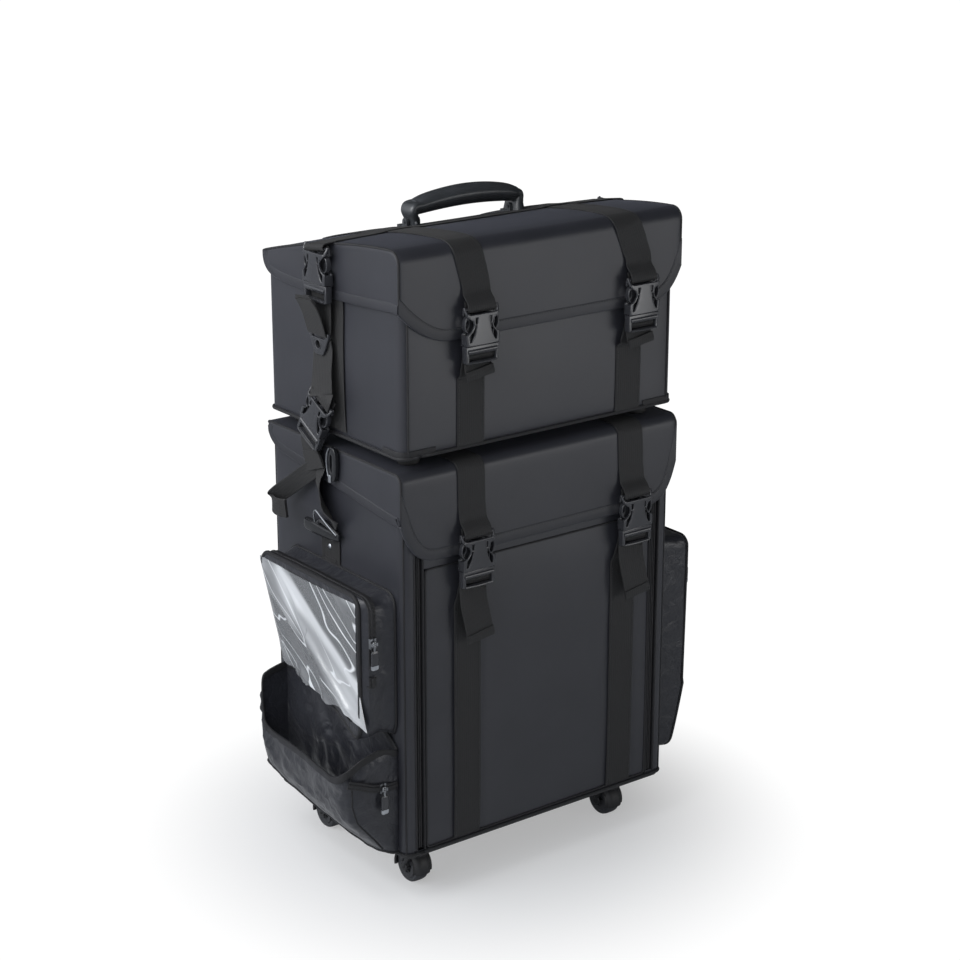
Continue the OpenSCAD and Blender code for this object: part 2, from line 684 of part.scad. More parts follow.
module upper_plugs() color(moulding) {
    for (x = [upper_strap_left_x, upper_strap_right_x]) front_buckle_at(x, upper_buckle_z) buckle_plug();
    for (side = [-1, 1]) side_buckle_at(side, side_buckle_x, side_strap_y, side_buckle_z) buckle_plug();
}
module side_rings() color(moulding) both_sides()
    difference() {
        along_x(ring_x, ring_x + 5)
            polygon([[side_strap_y - 21, ring_top_z], [side_strap_y + 19, ring_top_z],
                     [side_strap_y + 5, ring_top_z - ring_h], [side_strap_y - 9, ring_top_z - ring_h]]);
        translate([ring_x - eps, side_strap_y - 2, ring_top_z - 14]) rotate([0, 90, 0]) cylinder(r = 5, h = 8);
    }
module chain_sockets() color(moulding) for (side = [-1, 1])
    side_buckle_at(side, chain_x, chain_top[0], chain_top[1], chain_lean) buckle_socket(back_wall = true);

// Upper lid: its top slopes and bows down to the back

function tidy(v) = round(v * 100) / 100;
function lid_z(y) = tidy(upper_top_z + lid_rise_front
    - (lid_rise_front - lid_rise_back) * pow(max(0, y - lid_front_y) / (half_d - lid_front_y), 1.7));
lid_steps = 10;
function lid_line(rise) = [for (i = [0:lid_steps])
    let (y = tidy(lid_front_y + (half_d - lid_front_y) * i / lid_steps)) [y, lid_z(y) + rise]];
upper_skirt_z = upper_top_z - 14;
module upper_lid() color(nylon) {
    top = lid_line(0);
    under = lid_line(-lid_t);
    along_x(-lid_half_w, lid_half_w)
        polygon(concat(top, [[half_d, max(upper_lid_z, lid_z(half_d) - lid_t)]],
                       [for (i = [lid_steps - 1:-1:0]) [under[i][0], max(upper_lid_z, under[i][1])]]));
    both_sides() along_x(half_w + skirt_gap, lid_half_w)
        polygon(concat([for (p = lid_line(-1)) p], [[half_d - 2, upper_lid_z + 1], [half_d - 2, upper_skirt_z + 2],
                [-half_d + 12, upper_skirt_z - 4], [lid_front_y, upper_skirt_z + 2]]));
    along_y(lid_front_y, lid_front_y + skirt_t)
        flap_view(upper_top_z, upper_top_z - upper_flap_drop, lid_z(lid_front_y) - lid_t / 2);
}
cross_t = web_t + 0.6;
module under_lid_line(rise) polygon(concat(lid_line(rise), [[half_d, upper_top_z], [lid_front_y, upper_top_z]]));
module upper_lid_straps() color(webbing) {
    for (x = [upper_strap_left_x, upper_strap_right_x]) translate([x, 0, 0])
        lid_strap(lid_line(0), upper_buckle_z);
    along_x(-lid_half_w, lid_half_w) difference() {
        intersection() {
            under_lid_line(cross_t);
            translate([side_strap_y - web_w / 2, upper_top_z]) square([web_w, lid_rise_front + 10]);
        }
        under_lid_line(0);
    }
    both_sides() along_y(side_strap_y - web_w / 2, side_strap_y + web_w / 2) {
        rim_z = lid_z(side_strap_y);
        bar = [side_buckle_x, side_buckle_z - bar_r];
        translate(bar) bar_loop();
        polygon([[lid_half_w, rim_z - 3], [lid_half_w, rim_z + cross_t - 2], bar + [-1, bar_r + web_t],
                 bar + [-bar_r - 1, bar_r], bar + [-bar_r - 1.5, 0]]);
    }
}
module upper_lid_sockets() color(moulding) {
    for (x = [upper_strap_left_x, upper_strap_right_x]) front_buckle_at(x, upper_buckle_z) buckle_socket();
    for (side = [-1, 1]) side_buckle_at(side, side_buckle_x, side_strap_y, side_buckle_z) buckle_socket();
}

// Carry handle on two brackets

handle_y = 16;
bracket_w = 22;
bracket_base_t = 2;
bracket_z = lid_z(handle_y) + cross_t;
ear_r = 4.5;
pin_z = bracket_z + bracket_base_t + ear_r;
pin_r = 2;
leg_w = 12;
ear_t = 3.2;
leg_x = handle_span / 2;
module handle_brackets() color(moulding) for (s = [-1, 1]) translate([s * leg_x, handle_y, 0]) {
    difference() {
        block([-bracket_w / 2, -13, bracket_z - 6], [bracket_w / 2, 13, bracket_z + bracket_base_t]);
        along_x(-bracket_w, bracket_w)
            translate([-handle_y, 0]) under_lid_line(cross_t);
    }
    for (e = [-1, 1])
        along_x(e * (leg_w / 2 + 0.4 + ear_t / 2) - ear_t / 2, e * (leg_w / 2 + 0.4 + ear_t / 2) + ear_t / 2)
            translate([0, pin_z]) union() {
                circle(ear_r);
                translate([-ear_r, bracket_z + 1 - pin_z]) square([2 * ear_r, pin_z - bracket_z - 1]);
            }
    translate([-bracket_w / 2, 0, pin_z]) rotate([0, 90, 0]) cylinder(r = pin_r, h = bracket_w);
}
module carry_handle() color("#141416") {
    top_z = lid_z(handle_y) + handle_rise;
    arch_rise = 10;
    arch_r = (leg_x * leg_x + arch_rise * arch_rise) / (2 * arch_rise);
    arch_a = asin(leg_x / arch_r);
    knee_z = top_z - grip_r - arch_rise;
    translate([0, handle_y, top_z - grip_r - arch_r]) rotate([90, 0, 0]) rotate([0, 0, 90 - arch_a])
        rotate_extrude(angle = 2 * arch_a, $fn = 96) translate([arch_r, 0]) circle(grip_r);
    for (s = [-1, 1]) difference() {
        translate([s * leg_x, handle_y, 0]) union() {
            translate([0, 0, knee_z]) sphere(grip_r + 1);
            translate([0, 0, pin_z]) linear_extrude(knee_z - pin_z)
                rounded_plate(leg_w, 2 * ear_r, 3);
            translate([-leg_w / 2, 0, pin_z]) rotate([0, 90, 0]) cylinder(r = ear_r, h = leg_w);
        }
        translate([s * leg_x - leg_w, handle_y, pin_z]) rotate([0, 90, 0])
            cylinder(r = pin_r + 0.05, h = 2 * leg_w);
    }
}

// Casters: a fixed plate, a hooded fork that swivels, and a wheel on the fork's axle

stem_r = 5;
axle_r = 3;
hood_r = wheel_r + 3;
hood_w = wheel_w + 7;
head_r = 15;
caster_x = half_w - caster_inset;
caster_y = half_d - caster_inset + 3;
caster_places = [[-caster_x, -caster_y], [caster_x, -caster_y], [-caster_x, caster_y], [caster_x, caster_y]];
module caster_plates() color(steel) for (c = caster_places) translate([c[0], c[1], plate_z])
    difference() {
        linear_extrude(plate_t) rounded_plate(48, 48, 5);
        translate([0, 0, -eps]) cylinder(r = stem_r + tube_clear, h = plate_t + 2 * eps);
    }
module fork(i) color(moulding) translate([caster_places[i][0], caster_places[i][1], 0]) {
    cylinder_top = plate_z - fork_gap;
    difference() {
        union() {
            translate([0, 0, axle_z + wheel_r * 0.6]) cylinder(r = head_r, h = cylinder_top - axle_z - wheel_r * 0.6);
            translate([-hood_w / 2, caster_trail, axle_z]) rotate([0, 90, 0]) cylinder(r = hood_r, h = hood_w);
        }
        translate([-wheel_w / 2 - 1, caster_trail, axle_z]) rotate([0, 90, 0])
            cylinder(r = wheel_r + 1.2, h = wheel_w + 2);
        block([-hood_w, -hood_r - 5, -eps - 4], [hood_w, hood_r + caster_trail + 5, axle_z - 7]);
        block([-wheel_w / 2 - 1, caster_trail - wheel_r - 1.2, -5],
              [wheel_w / 2 + 1, caster_trail + wheel_r + 1.2, axle_z]);
    }
    translate([-hood_w / 2, caster_trail, axle_z]) rotate([0, 90, 0]) cylinder(r = axle_r, h = hood_w);
    translate([0, 0, cylinder_top - 1]) cylinder(r = stem_r, h = plate_t + fork_gap + 1.5);
}
module wheel(i) color("#202024") translate([caster_places[i][0], caster_places[i][1] + caster_trail, axle_z])
    rotate([0, 90, 0]) difference() {
        union() {
            translate([0, 0, -wheel_w / 2 + 2]) cylinder(r = wheel_r, h = wheel_w - 4);
            translate([0, 0, -wheel_w / 2]) cylinder(r1 = wheel_r - 2, r2 = wheel_r, h = 2, $fn = 48);
            translate([0, 0, wheel_w / 2 - 2]) cylinder(r1 = wheel_r, r2 = wheel_r - 2, h = 2, $fn = 48);
        }
        translate([0, 0, -wheel_w]) cylinder(r = axle_r + tube_clear, h = 2 * wheel_w);
    }
module fork_front_left() fork(0);
module fork_front_right() fork(1);
module fork_rear_left() fork(2);
module fork_rear_right() fork(3);
module wheel_front_left() wheel(0);
module wheel_front_right() wheel(1);
module wheel_rear_left() wheel(2);
module wheel_rear_right() wheel(3);

lower_shell();
base_pan();
caster_plates();
zipper_tapes();
drawer_rack();
window_pocket();
window_sheet();
bellows_pocket();
tall_pocket();
lower_side_straps();
lower_side_plugs();
side_clips();
strap_rivets();
handle_housing();
outer_tubes();
back_straps();
front_door();
door_straps();
door_plugs();
strap_tails();
zip_slider_left();
zip_slider_right();
window_slider();
bellows_slider();
tall_slider();
window_pull();
bellows_pull();
tall_pull();
lower_lid();
lower_lid_straps();
lower_lid_sockets();
drawer_low();
drawer_middle();
drawer_top();
upper_shell();
upper_feet();
upper_straps();
upper_plugs();
side_rings();
chain_sockets();
upper_lid();
upper_lid_straps();
upper_lid_sockets();
handle_brackets();
carry_handle();
middle_tubes();
inner_tubes();
trolley_grip();
release_button();
fork_front_left();
fork_front_right();
fork_rear_left();
fork_rear_right();
wheel_front_left();
wheel_front_right();
wheel_rear_left();
wheel_rear_right();
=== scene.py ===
"""Looks of the two-piece rolling case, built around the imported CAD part.

Sizes are millimetres in the part's own frame, and become metres where a mesh is made.
"""

import logging
import math
from dataclasses import dataclass
from enum import Enum
from typing import Any, Callable, ClassVar, Iterable, Sequence

import bmesh
import bpy
import numpy as np
from mathutils import Matrix, Vector, noise


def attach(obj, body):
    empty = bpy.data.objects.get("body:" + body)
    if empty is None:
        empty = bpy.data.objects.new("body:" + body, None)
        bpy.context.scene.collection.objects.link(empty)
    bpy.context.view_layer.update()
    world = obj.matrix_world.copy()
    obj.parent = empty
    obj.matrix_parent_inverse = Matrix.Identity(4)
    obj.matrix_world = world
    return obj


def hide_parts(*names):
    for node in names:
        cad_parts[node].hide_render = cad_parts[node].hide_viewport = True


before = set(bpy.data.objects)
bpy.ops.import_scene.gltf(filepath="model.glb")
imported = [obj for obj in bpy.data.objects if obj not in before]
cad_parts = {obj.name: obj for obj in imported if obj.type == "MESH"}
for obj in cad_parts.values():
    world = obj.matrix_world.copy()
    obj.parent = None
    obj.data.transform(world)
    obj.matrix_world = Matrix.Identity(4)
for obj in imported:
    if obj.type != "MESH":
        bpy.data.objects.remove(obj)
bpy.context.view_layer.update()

logging.basicConfig(level=logging.INFO, format="%(message)s")
log = logging.getLogger("rolling_case")

MM = 0.001
TURN = 2 * math.pi
CASE_W, CASE_D, WALL = 396.0, 270.0, 8.0
HALF_W, HALF_D = CASE_W / 2, CASE_D / 2
LOWER_Z, LOWER_TOP, SHELF_TOP = 65.0, 529.0, 430.0
UPPER_Z, UPPER_TOP = 551.6, 734.6
LID_HALF_W, LID_FRONT_Y, LOWER_LID_TOP = 203.2, -140.2, 537.3
UPPER_STRAPS = (-104.0, 127.0)
UPPER_OVER = (-114.0, 115.0)
UPPER_BUCKLES = (-101.0, 134.0)
LOWER_STRAPS = (-110.0, 124.0)
LOWER_OVER = (-107.0, 128.0)
LOWER_BUCKLES = (-106.0, 131.0)
UPPER_BUCKLE_Z, LOWER_BUCKLE_Z, BUCKLE_LENGTH = 718.0, 455.0, 64.0
WEB_W, WEB_T = 38.0, 2.0
FRONT_BUCKLE_Y = -151.0
SIDE_X, SIDE_Y, SIDE_BUCKLE_Z = 214.0, 2.0, 774.0
CHAIN_LEAN = 29.0
CHAIN_TOP = (-3.0, UPPER_Z + 46.0)
LEAN_COS, LEAN_SIN = math.cos(math.radians(CHAIN_LEAN)), math.sin(math.radians(CHAIN_LEAN))

Points = np.ndarray
Obj = bpy.types.Object
Tree = bpy.types.NodeTree
Node = bpy.types.Node


class Side(Enum):
    """The two sides of the case, seen from the front."""
    LEFT = -1.0
    RIGHT = 1.0


class Body(Enum):
    """The CAD bodies that pieces ride on."""
    LOWER = "lower_case"
    UPPER = "upper_case"
    LOWER_LID = "lower_lid"
    UPPER_LID = "upper_lid"
    DOOR = "front_door"
    HANDLE = "carry_handle"


# Colour and nodes

def linear(code: str) -> tuple[float, float, float, float]:
    """Turns an sRGB hex colour to linear.

    Args:
        code: Six hex digits after a hash sign.

    Returns:
        Red, green, blue and an alpha of one.
    """
    parts = [int(code[i:i + 2], 16) / 255 for i in (1, 3, 5)]
    r, g, b = (p / 12.92 if p <= 0.04045 else ((p + 0.055) / 1.055) ** 2.4 for p in parts)
    return r, g, b, 1.0


def feed(node: Node, inputs: dict[Any, Any]) -> None:
    """Sets a node's inputs.

    Args:
        node: The node.
        inputs: Value or output socket for each input, by name or index.
    """
    for key, value in inputs.items():
        if isinstance(value, bpy.types.NodeSocket):
            node.id_data.links.new(value, node.inputs[key])
        else:
            node.inputs[key].default_value = value


def add_node(tree: Tree, kind: str, inputs: dict[Any, Any] | None = None, **settings: Any) -> Node:
    """Adds one node with its settings and links.

    Args:
        tree: The tree that gets the node.
        kind: Blender's name of the node type.
        inputs: Value or output socket for each input, by name or index.
        settings: Properties of the node itself.

    Returns:
        The new node.
    """
    node = tree.nodes.new(kind)
    for key, value in settings.items():
        setattr(node, key, value)
    feed(node, inputs or {})
    return node


def wave_scale(period_mm: float) -> float:
    """Wave texture scale for a pattern that repeats each period_mm, on coordinates in metres."""
    return math.pi / 10 / (period_mm * MM)


def noise_scale(size_mm: float) -> float:
    """Noise texture scale for blotches of about size_mm, on coordinates in metres."""
    return 1 / (size_mm * MM)


# Finishes

@dataclass(frozen=True)
class Finish:
    """A real material and how its surface was made."""
    name: str
    colour: str
    roughness: float
    ior: float = 1.5
    metallic: float = 0.0
    axes: ClassVar[str] = "Object"

    def material(self) -> bpy.types.Material:
        """Makes the material once and finds it again after that.

        Returns:
            The Blender material.
        """
        found = bpy.data.materials.get(self.name)
        if found:
            return found
        made = bpy.data.materials.new(self.name)
        made.use_nodes = True
        shader = made.node_tree.nodes["Principled BSDF"]
        feed(shader, {"Base Color": linear(self.colour), "Roughness": self.roughness, "Metallic": self.metallic})
        if not self.metallic:
            feed(shader, {"IOR": self.ior})
        coords = add_node(made.node_tree, "ShaderNodeTexCoord").outputs[self.axes]
        self.pattern(made.node_tree, shader, coords)
        return made

    def pattern(self, tree: Tree, shader: Node, coords: Any) -> None:
        """Adds what the surface shows.

        Args:
            tree: The material's nodes.
            shader: Its Principled shader.
            coords: The coordinates, in metres.
        """
        raise NotImplementedError

    def mottle(self, tree: Tree, shader: Node, coords: Any, size_mm: float, other: str, rough_by: float) -> Node:
        """Varies the colour and the gloss in soft blotches.

        Args:
            tree: The material's nodes.
            shader: Its Principled shader.
            coords: The coordinates, in metres.
            size_mm: Size of the blotches.
            other: Hex colour at the blotches' far end.
            rough_by: How much roughness rises in them.

        Returns:
            The noise node.
        """
        cloud = add_node(tree, "ShaderNodeTexNoise",
                         {"Vector": coords, "Scale": noise_scale(size_mm), "Detail": 3.0})
        mix = add_node(tree, "ShaderNodeMix",
                       {0: cloud.outputs[0], 6: linear(self.colour), 7: linear(other)}, data_type="RGBA")
        rough = add_node(tree, "ShaderNodeMapRange",
                         {0: cloud.outputs[0], 3: self.roughness - rough_by / 2,
                          4: self.roughness + rough_by / 2})
        feed(shader, {"Base Color": mix.outputs[2], "Roughness": rough.outputs[0]})
        return cloud


@dataclass(frozen=True)
class WovenNylon(Finish):
    """Nylon oxford cloth, laminated and calendered: a satin charcoal with a faint square weave."""
    thread_mm: float = 1.1
    lighter: str = "#2d2e34"
    bump: float = 0.25

    def pattern(self, tree: Tree, shader: Node, coords: Any) -> None:
        """Draws the weave along the object's own axes, coarser than its real 0.5 mm so that it shows.

        Args:
            tree: The material's nodes.
            shader: Its Principled shader.
            coords: The coordinates, in metres.
        """
        cloud = self.mottle(tree, shader, coords, 60.0, self.lighter, 0.08)
        split = add_node(tree, "ShaderNodeSeparateXYZ", {0: coords})
        around = add_node(tree, "ShaderNodeMath", {0: split.outputs[0], 1: split.outputs[1]})
        flat = add_node(tree, "ShaderNodeCombineXYZ", {0: around.outputs[0], 1: split.outputs[2]})
        warp = add_node(tree, "ShaderNodeTexWave", {"Vector": flat.outputs[0],
                                                    "Scale": wave_scale(self.thread_mm)}, bands_direction="X")
        weft = add_node(tree, "ShaderNodeTexWave", {"Vector": flat.outputs[0],
                                                    "Scale": wave_scale(self.thread_mm)}, bands_direction="Y")
        cloth = add_node(tree, "ShaderNodeMath", {0: warp.outputs["Fac"], 1: weft.outputs["Fac"]},
                         operation="MULTIPLY")
        fine = add_node(tree, "ShaderNodeBump", {"Height": cloth.outputs[0], "Strength": self.bump,
                                                 "Distance": 0.05 * MM})
        soft = add_node(tree, "ShaderNodeBump", {"Height": cloud.outputs[0], "Strength": 0.3,
                                                 "Distance": 2.0 * MM, "Normal": fine.outputs[0]})
        feed(shader, {"Normal": soft.outputs[0], "Sheen Weight": 0.12, "Sheen Roughness": 0.35,
                      "Sheen Tint": linear("#c8cde0")})


@dataclass(frozen=True)
class CrinkledNylon(Finish):
    """Thin unlined nylon taffeta, creased by handling: sharp small folds that catch the light."""
    crease_mm: float = 42.0

    def pattern(self, tree: Tree, shader: Node, coords: Any) -> None:
        """Adds crossing creases and the fine weave under them.

        Args:
            tree: The material's nodes.
            shader: Its Principled shader.
            coords: The coordinates, in metres.
        """
        cloud = self.mottle(tree, shader, coords, 60.0, "#22242b", 0.08)
        bent = add_node(tree, "ShaderNodeMix", {0: 0.35, 4: coords, 5: cloud.outputs[1]}, data_type="VECTOR")
        crease = add_node(tree, "ShaderNodeTexVoronoi", {"Vector": bent.outputs[1],
                                                         "Scale": noise_scale(self.crease_mm)},
                          feature="DISTANCE_TO_EDGE")
        sharp = add_node(tree, "ShaderNodeMapRange", {0: crease.outputs[0], 1: 0.0, 2: 0.14})
        first = add_node(tree, "ShaderNodeBump", {"Height": sharp.outputs[0], "Strength": 0.14,
                                                  "Distance": 1.2 * MM})
        rumple = add_node(tree, "ShaderNodeTexNoise", {"Vector": coords, "Scale": noise_scale(30.0),
                                                       "Detail": 1.5, "Distortion": 1.2})
        second = add_node(tree, "ShaderNodeBump", {"Height": rumple.outputs[0], "Strength": 0.7,
                                                   "Distance": 4.0 * MM, "Normal": first.outputs[0]})
        feed(shader, {"Normal": second.outputs[0], "Sheen Weight": 0.08})


@dataclass(frozen=True)
class RibbedWebbing(Finish):
    """Polypropylene webbing, woven on a narrow loom: matt black with fine crossing picks."""
    pick_mm: float = 1.6
    axes: ClassVar[str] = "UV"

    def pattern(self, tree: Tree, shader: Node, coords: Any) -> None:
        """Draws the picks across the strap and the thread lines along it from its own length.

        Args:
            tree: The material's nodes.
            shader: Its Principled shader.
            coords: The coordinates, in metres.
        """
        self.mottle(tree, shader, coords, 18.0, "#1c1c1d", 0.1)
        across = add_node(tree, "ShaderNodeTexWave", {"Vector": coords, "Scale": wave_scale(self.pick_mm)},
                          bands_direction="Y")
        along = add_node(tree, "ShaderNodeTexWave", {"Vector": coords, "Scale": wave_scale(1.5)},
                         bands_direction="X")
        both = add_node(tree, "ShaderNodeMath", {0: across.outputs["Fac"], 1: along.outputs["Fac"]},
                        operation="MULTIPLY")
        bump = add_node(tree, "ShaderNodeBump", {"Height": both.outputs[0], "Strength": 0.5,
                                                 "Distance": 0.15 * MM})
        feed(shader, {"Normal": bump.outputs[0], "Sheen Weight": 0.05, "Sheen Roughness": 0.5})


@dataclass(frozen=True)
class MouldedPlastic(Finish):
    """Injection-moulded acetal or ABS: even colour, gloss from the mould, faint flow marks."""
    grain_mm: float = 1.2
    grain: float = 0.05
    other: str = "#18181b"

    def pattern(self, tree: Tree, shader: Node, coords: Any) -> None:
        """Adds the mould's grain and a slight change of gloss.

        Args:
            tree: The material's nodes.
            shader: Its Principled shader.
            coords: The coordinates, in metres.
        """
        self.mottle(tree, shader, coords, 25.0, self.other, 0.08)
        speck = add_node(tree, "ShaderNodeTexNoise", {"Vector": coords, "Scale": noise_scale(self.grain_mm)})
        bump = add_node(tree, "ShaderNodeBump", {"Height": speck.outputs[0], "Strength": self.grain,
                                                 "Distance": 0.2 * MM})
        feed(shader, {"Normal": bump.outputs[0]})


@dataclass(frozen=True)
class Leatherette(Finish):
    """PVC-coated leatherette, embossed: pebbled grain under a glossy skin."""
    pebble_mm: float = 2.2

    def pattern(self, tree: Tree, shader: Node, coords: Any) -> None:
        """Embosses the pebbles and adds the shine of the coating.

        Args:
            tree: The material's nodes.
            shader: Its Principled shader.
            coords: The coordinates, in metres.
        """
        self.mottle(tree, shader, coords, 20.0, "#26282a", 0.12)
        pebbles = add_node(tree, "ShaderNodeTexVoronoi", {"Vector": coords,
                                                          "Scale": noise_scale(self.pebble_mm)},
                           feature="DISTANCE_TO_EDGE")
        bump = add_node(tree, "ShaderNodeBump", {"Height": pebbles.outputs[0], "Strength": 0.35,
                                                 "Distance": 0.4 * MM})
        feed(shader, {"Normal": bump.outputs[0], "Coat Weight": 0.35, "Coat Roughness": 0.25})


@dataclass(frozen=True)
class ClearVinyl(Finish):
    """Flexible PVC film, calendered: clear, with painted white highlights in slanted streaks and thin curved lines
    where its creases would catch the light.
    """
    streak_mm: float = 42.0

    def pattern(self, tree: Tree, shader: Node, coords: Any) -> None:
        """Paints white highlights in slanted streaks and thin curved lines, drawn more opaque there, and lets the rest
        show what is behind.

        Args:
            tree: The material's nodes.
            shader: Its Principled shader.
            coords: The coordinates, in metres.
        """
        level = add_node(tree, "ShaderNodeMapping", {"Vector": coords, "Rotation": (math.radians(-37), 0, 0)})
        turned = add_node(tree, "ShaderNodeMapping", {"Vector": level.outputs[0], "Scale": (0.3, 0.22, 1.0)})
        streak = add_node(tree, "ShaderNodeTexNoise", {"Vector": turned.outputs[0],
                                                       "Scale": noise_scale(self.streak_mm), "Detail": 1.0,
                                                       "Distortion": 0.6})
        # Painted highlight: broad slanted streaks where the creases would catch the light.
        painted_highlight_streaks = add_node(tree, "ShaderNodeMapRange", {0: streak.outputs[0], 1: 0.46, 2: 0.7, 3: 0.2, 4: 0.85},
                         interpolation_type="SMOOTHSTEP")
        # Painted highlight: thin curved lines where a second noise crosses its middle value.
        contour = add_node(tree, "ShaderNodeTexNoise", {"Vector": turned.outputs[0], "Detail": 0.0,
                                                        "Scale": noise_scale(30.0), "Distortion": 0.9})
        ridge = add_node(tree, "ShaderNodeMath", {0: contour.outputs[0], 1: 0.5}, operation="SUBTRACT")
        away = add_node(tree, "ShaderNodeMath", {0: ridge.outputs[0]}, operation="ABSOLUTE")
        painted_highlight_lines = add_node(tree, "ShaderNodeMapRange", {0: away.outputs[0], 1: 0.0, 2: 0.035, 3: 1.0, 4: 0.0},
                        interpolation_type="SMOOTHSTEP")
        # Both painted highlights together; the film is drawn more opaque under them.
        cover = add_node(tree, "ShaderNodeMath", {0: painted_highlight_streaks.outputs[0], 1: painted_highlight_lines.outputs[0]}, operation="MAXIMUM")
        solid = add_node(tree, "ShaderNodeMapRange", {0: cover.outputs[0], 1: 0.0, 2: 0.8, 3: 0.62, 4: 1.0})
        # Colour of the painted highlights: grey where none is painted, near white where they are.
        painted_highlight_colour = add_node(tree, "ShaderNodeMix", {0: cover.outputs[0], 6: linear("#414347"), 7: linear(self.colour)},
                        data_type="RGBA")
        bump = add_node(tree, "ShaderNodeBump", {"Height": streak.outputs[0], "Strength": 0.8,
                                                 "Distance": 3.0 * MM})
        feed(shader, {"Alpha": solid.outputs[0], "Base Color": painted_highlight_colour.outputs[2], "Normal": bump.outputs[0],
                      "Specular IOR Level": 0.9})


@dataclass(frozen=True)
class CoilTape(Finish):
    """Woven zip tape with a sewn-on polyester coil: close ridges across its length."""
    tooth_mm: float = 1.6
    axes: ClassVar[str] = "UV"

    def pattern(self, tree: Tree, shader: Node, coords: Any) -> None:
        """Draws the coil's teeth across the tape.

        Args:
            tree: The material's nodes.
            shader: Its Principled shader.
            coords: The coordinates, in metres.
        """
        self.mottle(tree, shader, coords, 12.0, "#1f1f22", 0.1)
        teeth = add_node(tree, "ShaderNodeTexWave", {"Vector": coords, "Scale": wave_scale(self.tooth_mm)},
                         bands_direction="Y")
        bump = add_node(tree, "ShaderNodeBump", {"Height": teeth.outputs["Fac"], "Strength": 0.8,
                                                 "Distance": 0.4 * MM})
        feed(shader, {"Normal": bump.outputs[0]})


@dataclass(frozen=True)
class BrushedMetal(Finish):
    """Plated zinc, zinc-plated steel or anodised aluminium with fine drawing lines."""
    line_mm: float = 0.5

    def pattern(self, tree: Tree, shader: Node, coords: Any) -> None:
        """Stretches a noise along one axis, as drawing through a die leaves it.

        Args:
            tree: The material's nodes.
            shader: Its Principled shader.
            coords: The coordinates, in metres.
        """
        self.mottle(tree, shader, coords, 15.0, "#b9bcc0", 0.12)
        drawn = add_node(tree, "ShaderNodeMapping", {"Vector": coords, "Scale": (1.0, 1.0, 0.03)})
        lines = add_node(tree, "ShaderNodeTexNoise", {"Vector": drawn.outputs[0],
                                                      "Scale": noise_scale(self.line_mm)})
        bump = add_node(tree, "ShaderNodeBump", {"Height": lines.outputs[0], "Strength": 0.12,
                                                 "Distance": 0.1 * MM})
        feed(shader, {"Normal": bump.outputs[0]})


case_nylon = WovenNylon("laminated_nylon", "#232429", 0.44)
lid_nylon = WovenNylon("laminated_nylon_lid", "#222328", 0.46)
lining_nylon = WovenNylon("nylon_lining", "#26262a", 0.7, bump=0.15, lighter="#2d2d32")
# Painted shade: the lid's nylon made darker, for the shade along the folded hems and skirt edges.
hem_cloth_painted_shade = WovenNylon("folded_hem_painted_shade_nylon", "#1b1c20", 0.52, thread_mm=2.0)
binding_nylon = WovenNylon("grosgrain_binding", "#131315", 0.7, thread_mm=2.0, bump=0.5, lighter="#19191c")
pocket_nylon = CrinkledNylon("taffeta_nylon", "#202127", 0.4)
webbing = RibbedWebbing("woven_webbing", "#131314", 0.72)
buckle_acetal = MouldedPlastic("moulded_acetal", "#2d2e31", 0.24, 1.55, other="#36373b")
hook_acetal = MouldedPlastic("glass_filled_acetal", "#18191b", 0.2, 1.5, other="#202124")
frame_abs = MouldedPlastic("moulded_abs", "#19191b", 0.5, 1.53, grain=0.25)
button_abs = MouldedPlastic("moulded_abs_grey", "#38383b", 0.45, 1.53, grain=0.2, other="#3f3f43")
tray_board = MouldedPlastic("extruded_tray_board", "#28282b", 0.55, 1.5, grain=0.3, grain_mm=2.0,
                            other="#303034")
rubber = MouldedPlastic("moulded_rubber", "#161616", 0.75, 1.52, grain=0.35, other="#1e1e1e")
wheel_rubber = MouldedPlastic("cast_polyurethane", "#2a2b2e", 0.5, 1.5, grain=0.2, other="#333438")
leatherette = Leatherette("embossed_leatherette", "#3f4246", 0.36)
# The film's colour is the near white of its painted highlights.
vinyl = ClearVinyl("clear_vinyl_film", "#dfe2e5", 0.14, 1.54)
coil_tape = CoilTape("coil_zip_tape", "#151517", 0.5)
plated_zinc = BrushedMetal("plated_zinc", "#a7abb0", 0.28, metallic=1.0)
zinc_steel = BrushedMetal("zinc_plated_steel", "#8f9296", 0.4, metallic=1.0)
tube_aluminium = BrushedMetal("anodised_aluminium", "#9fa2a7", 0.3, metallic=1.0)
dark_zinc = BrushedMetal("black_plated_zinc", "#35373b", 0.3, metallic=1.0)
sewing_thread = RibbedWebbing("polyester_thread", "#2e2e31", 0.55, pick_mm=1.0)


# Shaping

def put(name: str, data: Any) -> Obj:
    """Puts a new object into the scene.

    Args:
        name: Its name.
        data: Its mesh, curve, light or camera.

    Returns:
        The object.
    """
    made = bpy.data.objects.new(name, data)
    bpy.context.scene.collection.objects.link(made)
    return made


def unit(vectors: Points) -> Points:
    """Scales each vector to a length of one."""
    return vectors / np.maximum(np.linalg.norm(vectors, axis=-1, keepdims=True), 1e-9)


def smooth_line(points: Iterable[Sequence[float]], steps: int = 5) -> Points:
    """Runs a Catmull-Rom curve through points.

    Args:
        points: The points, in millimetres.
        steps: Samples between two of them.

    Returns:
        The sampled line.
    """
    p = np.array([tuple(q) for q in points], float)
    wide = np.vstack([2 * p[0] - p[1], p, 2 * p[-1] - p[-2]])
    t = np.linspace(0, 1, steps, endpoint=False)[:, None]
    runs = []
    for a, b, c, d in zip(wide[:-3], wide[1:-2], wide[2:-1], wide[3:]):
        runs.append(0.5 * (2 * b + (c - a) * t + (2 * a - 5 * b + 4 * c - d) * t ** 2
                           + (3 * b - a - 3 * c + d) * t ** 3))
    return np.vstack(runs + [p[-1:]])


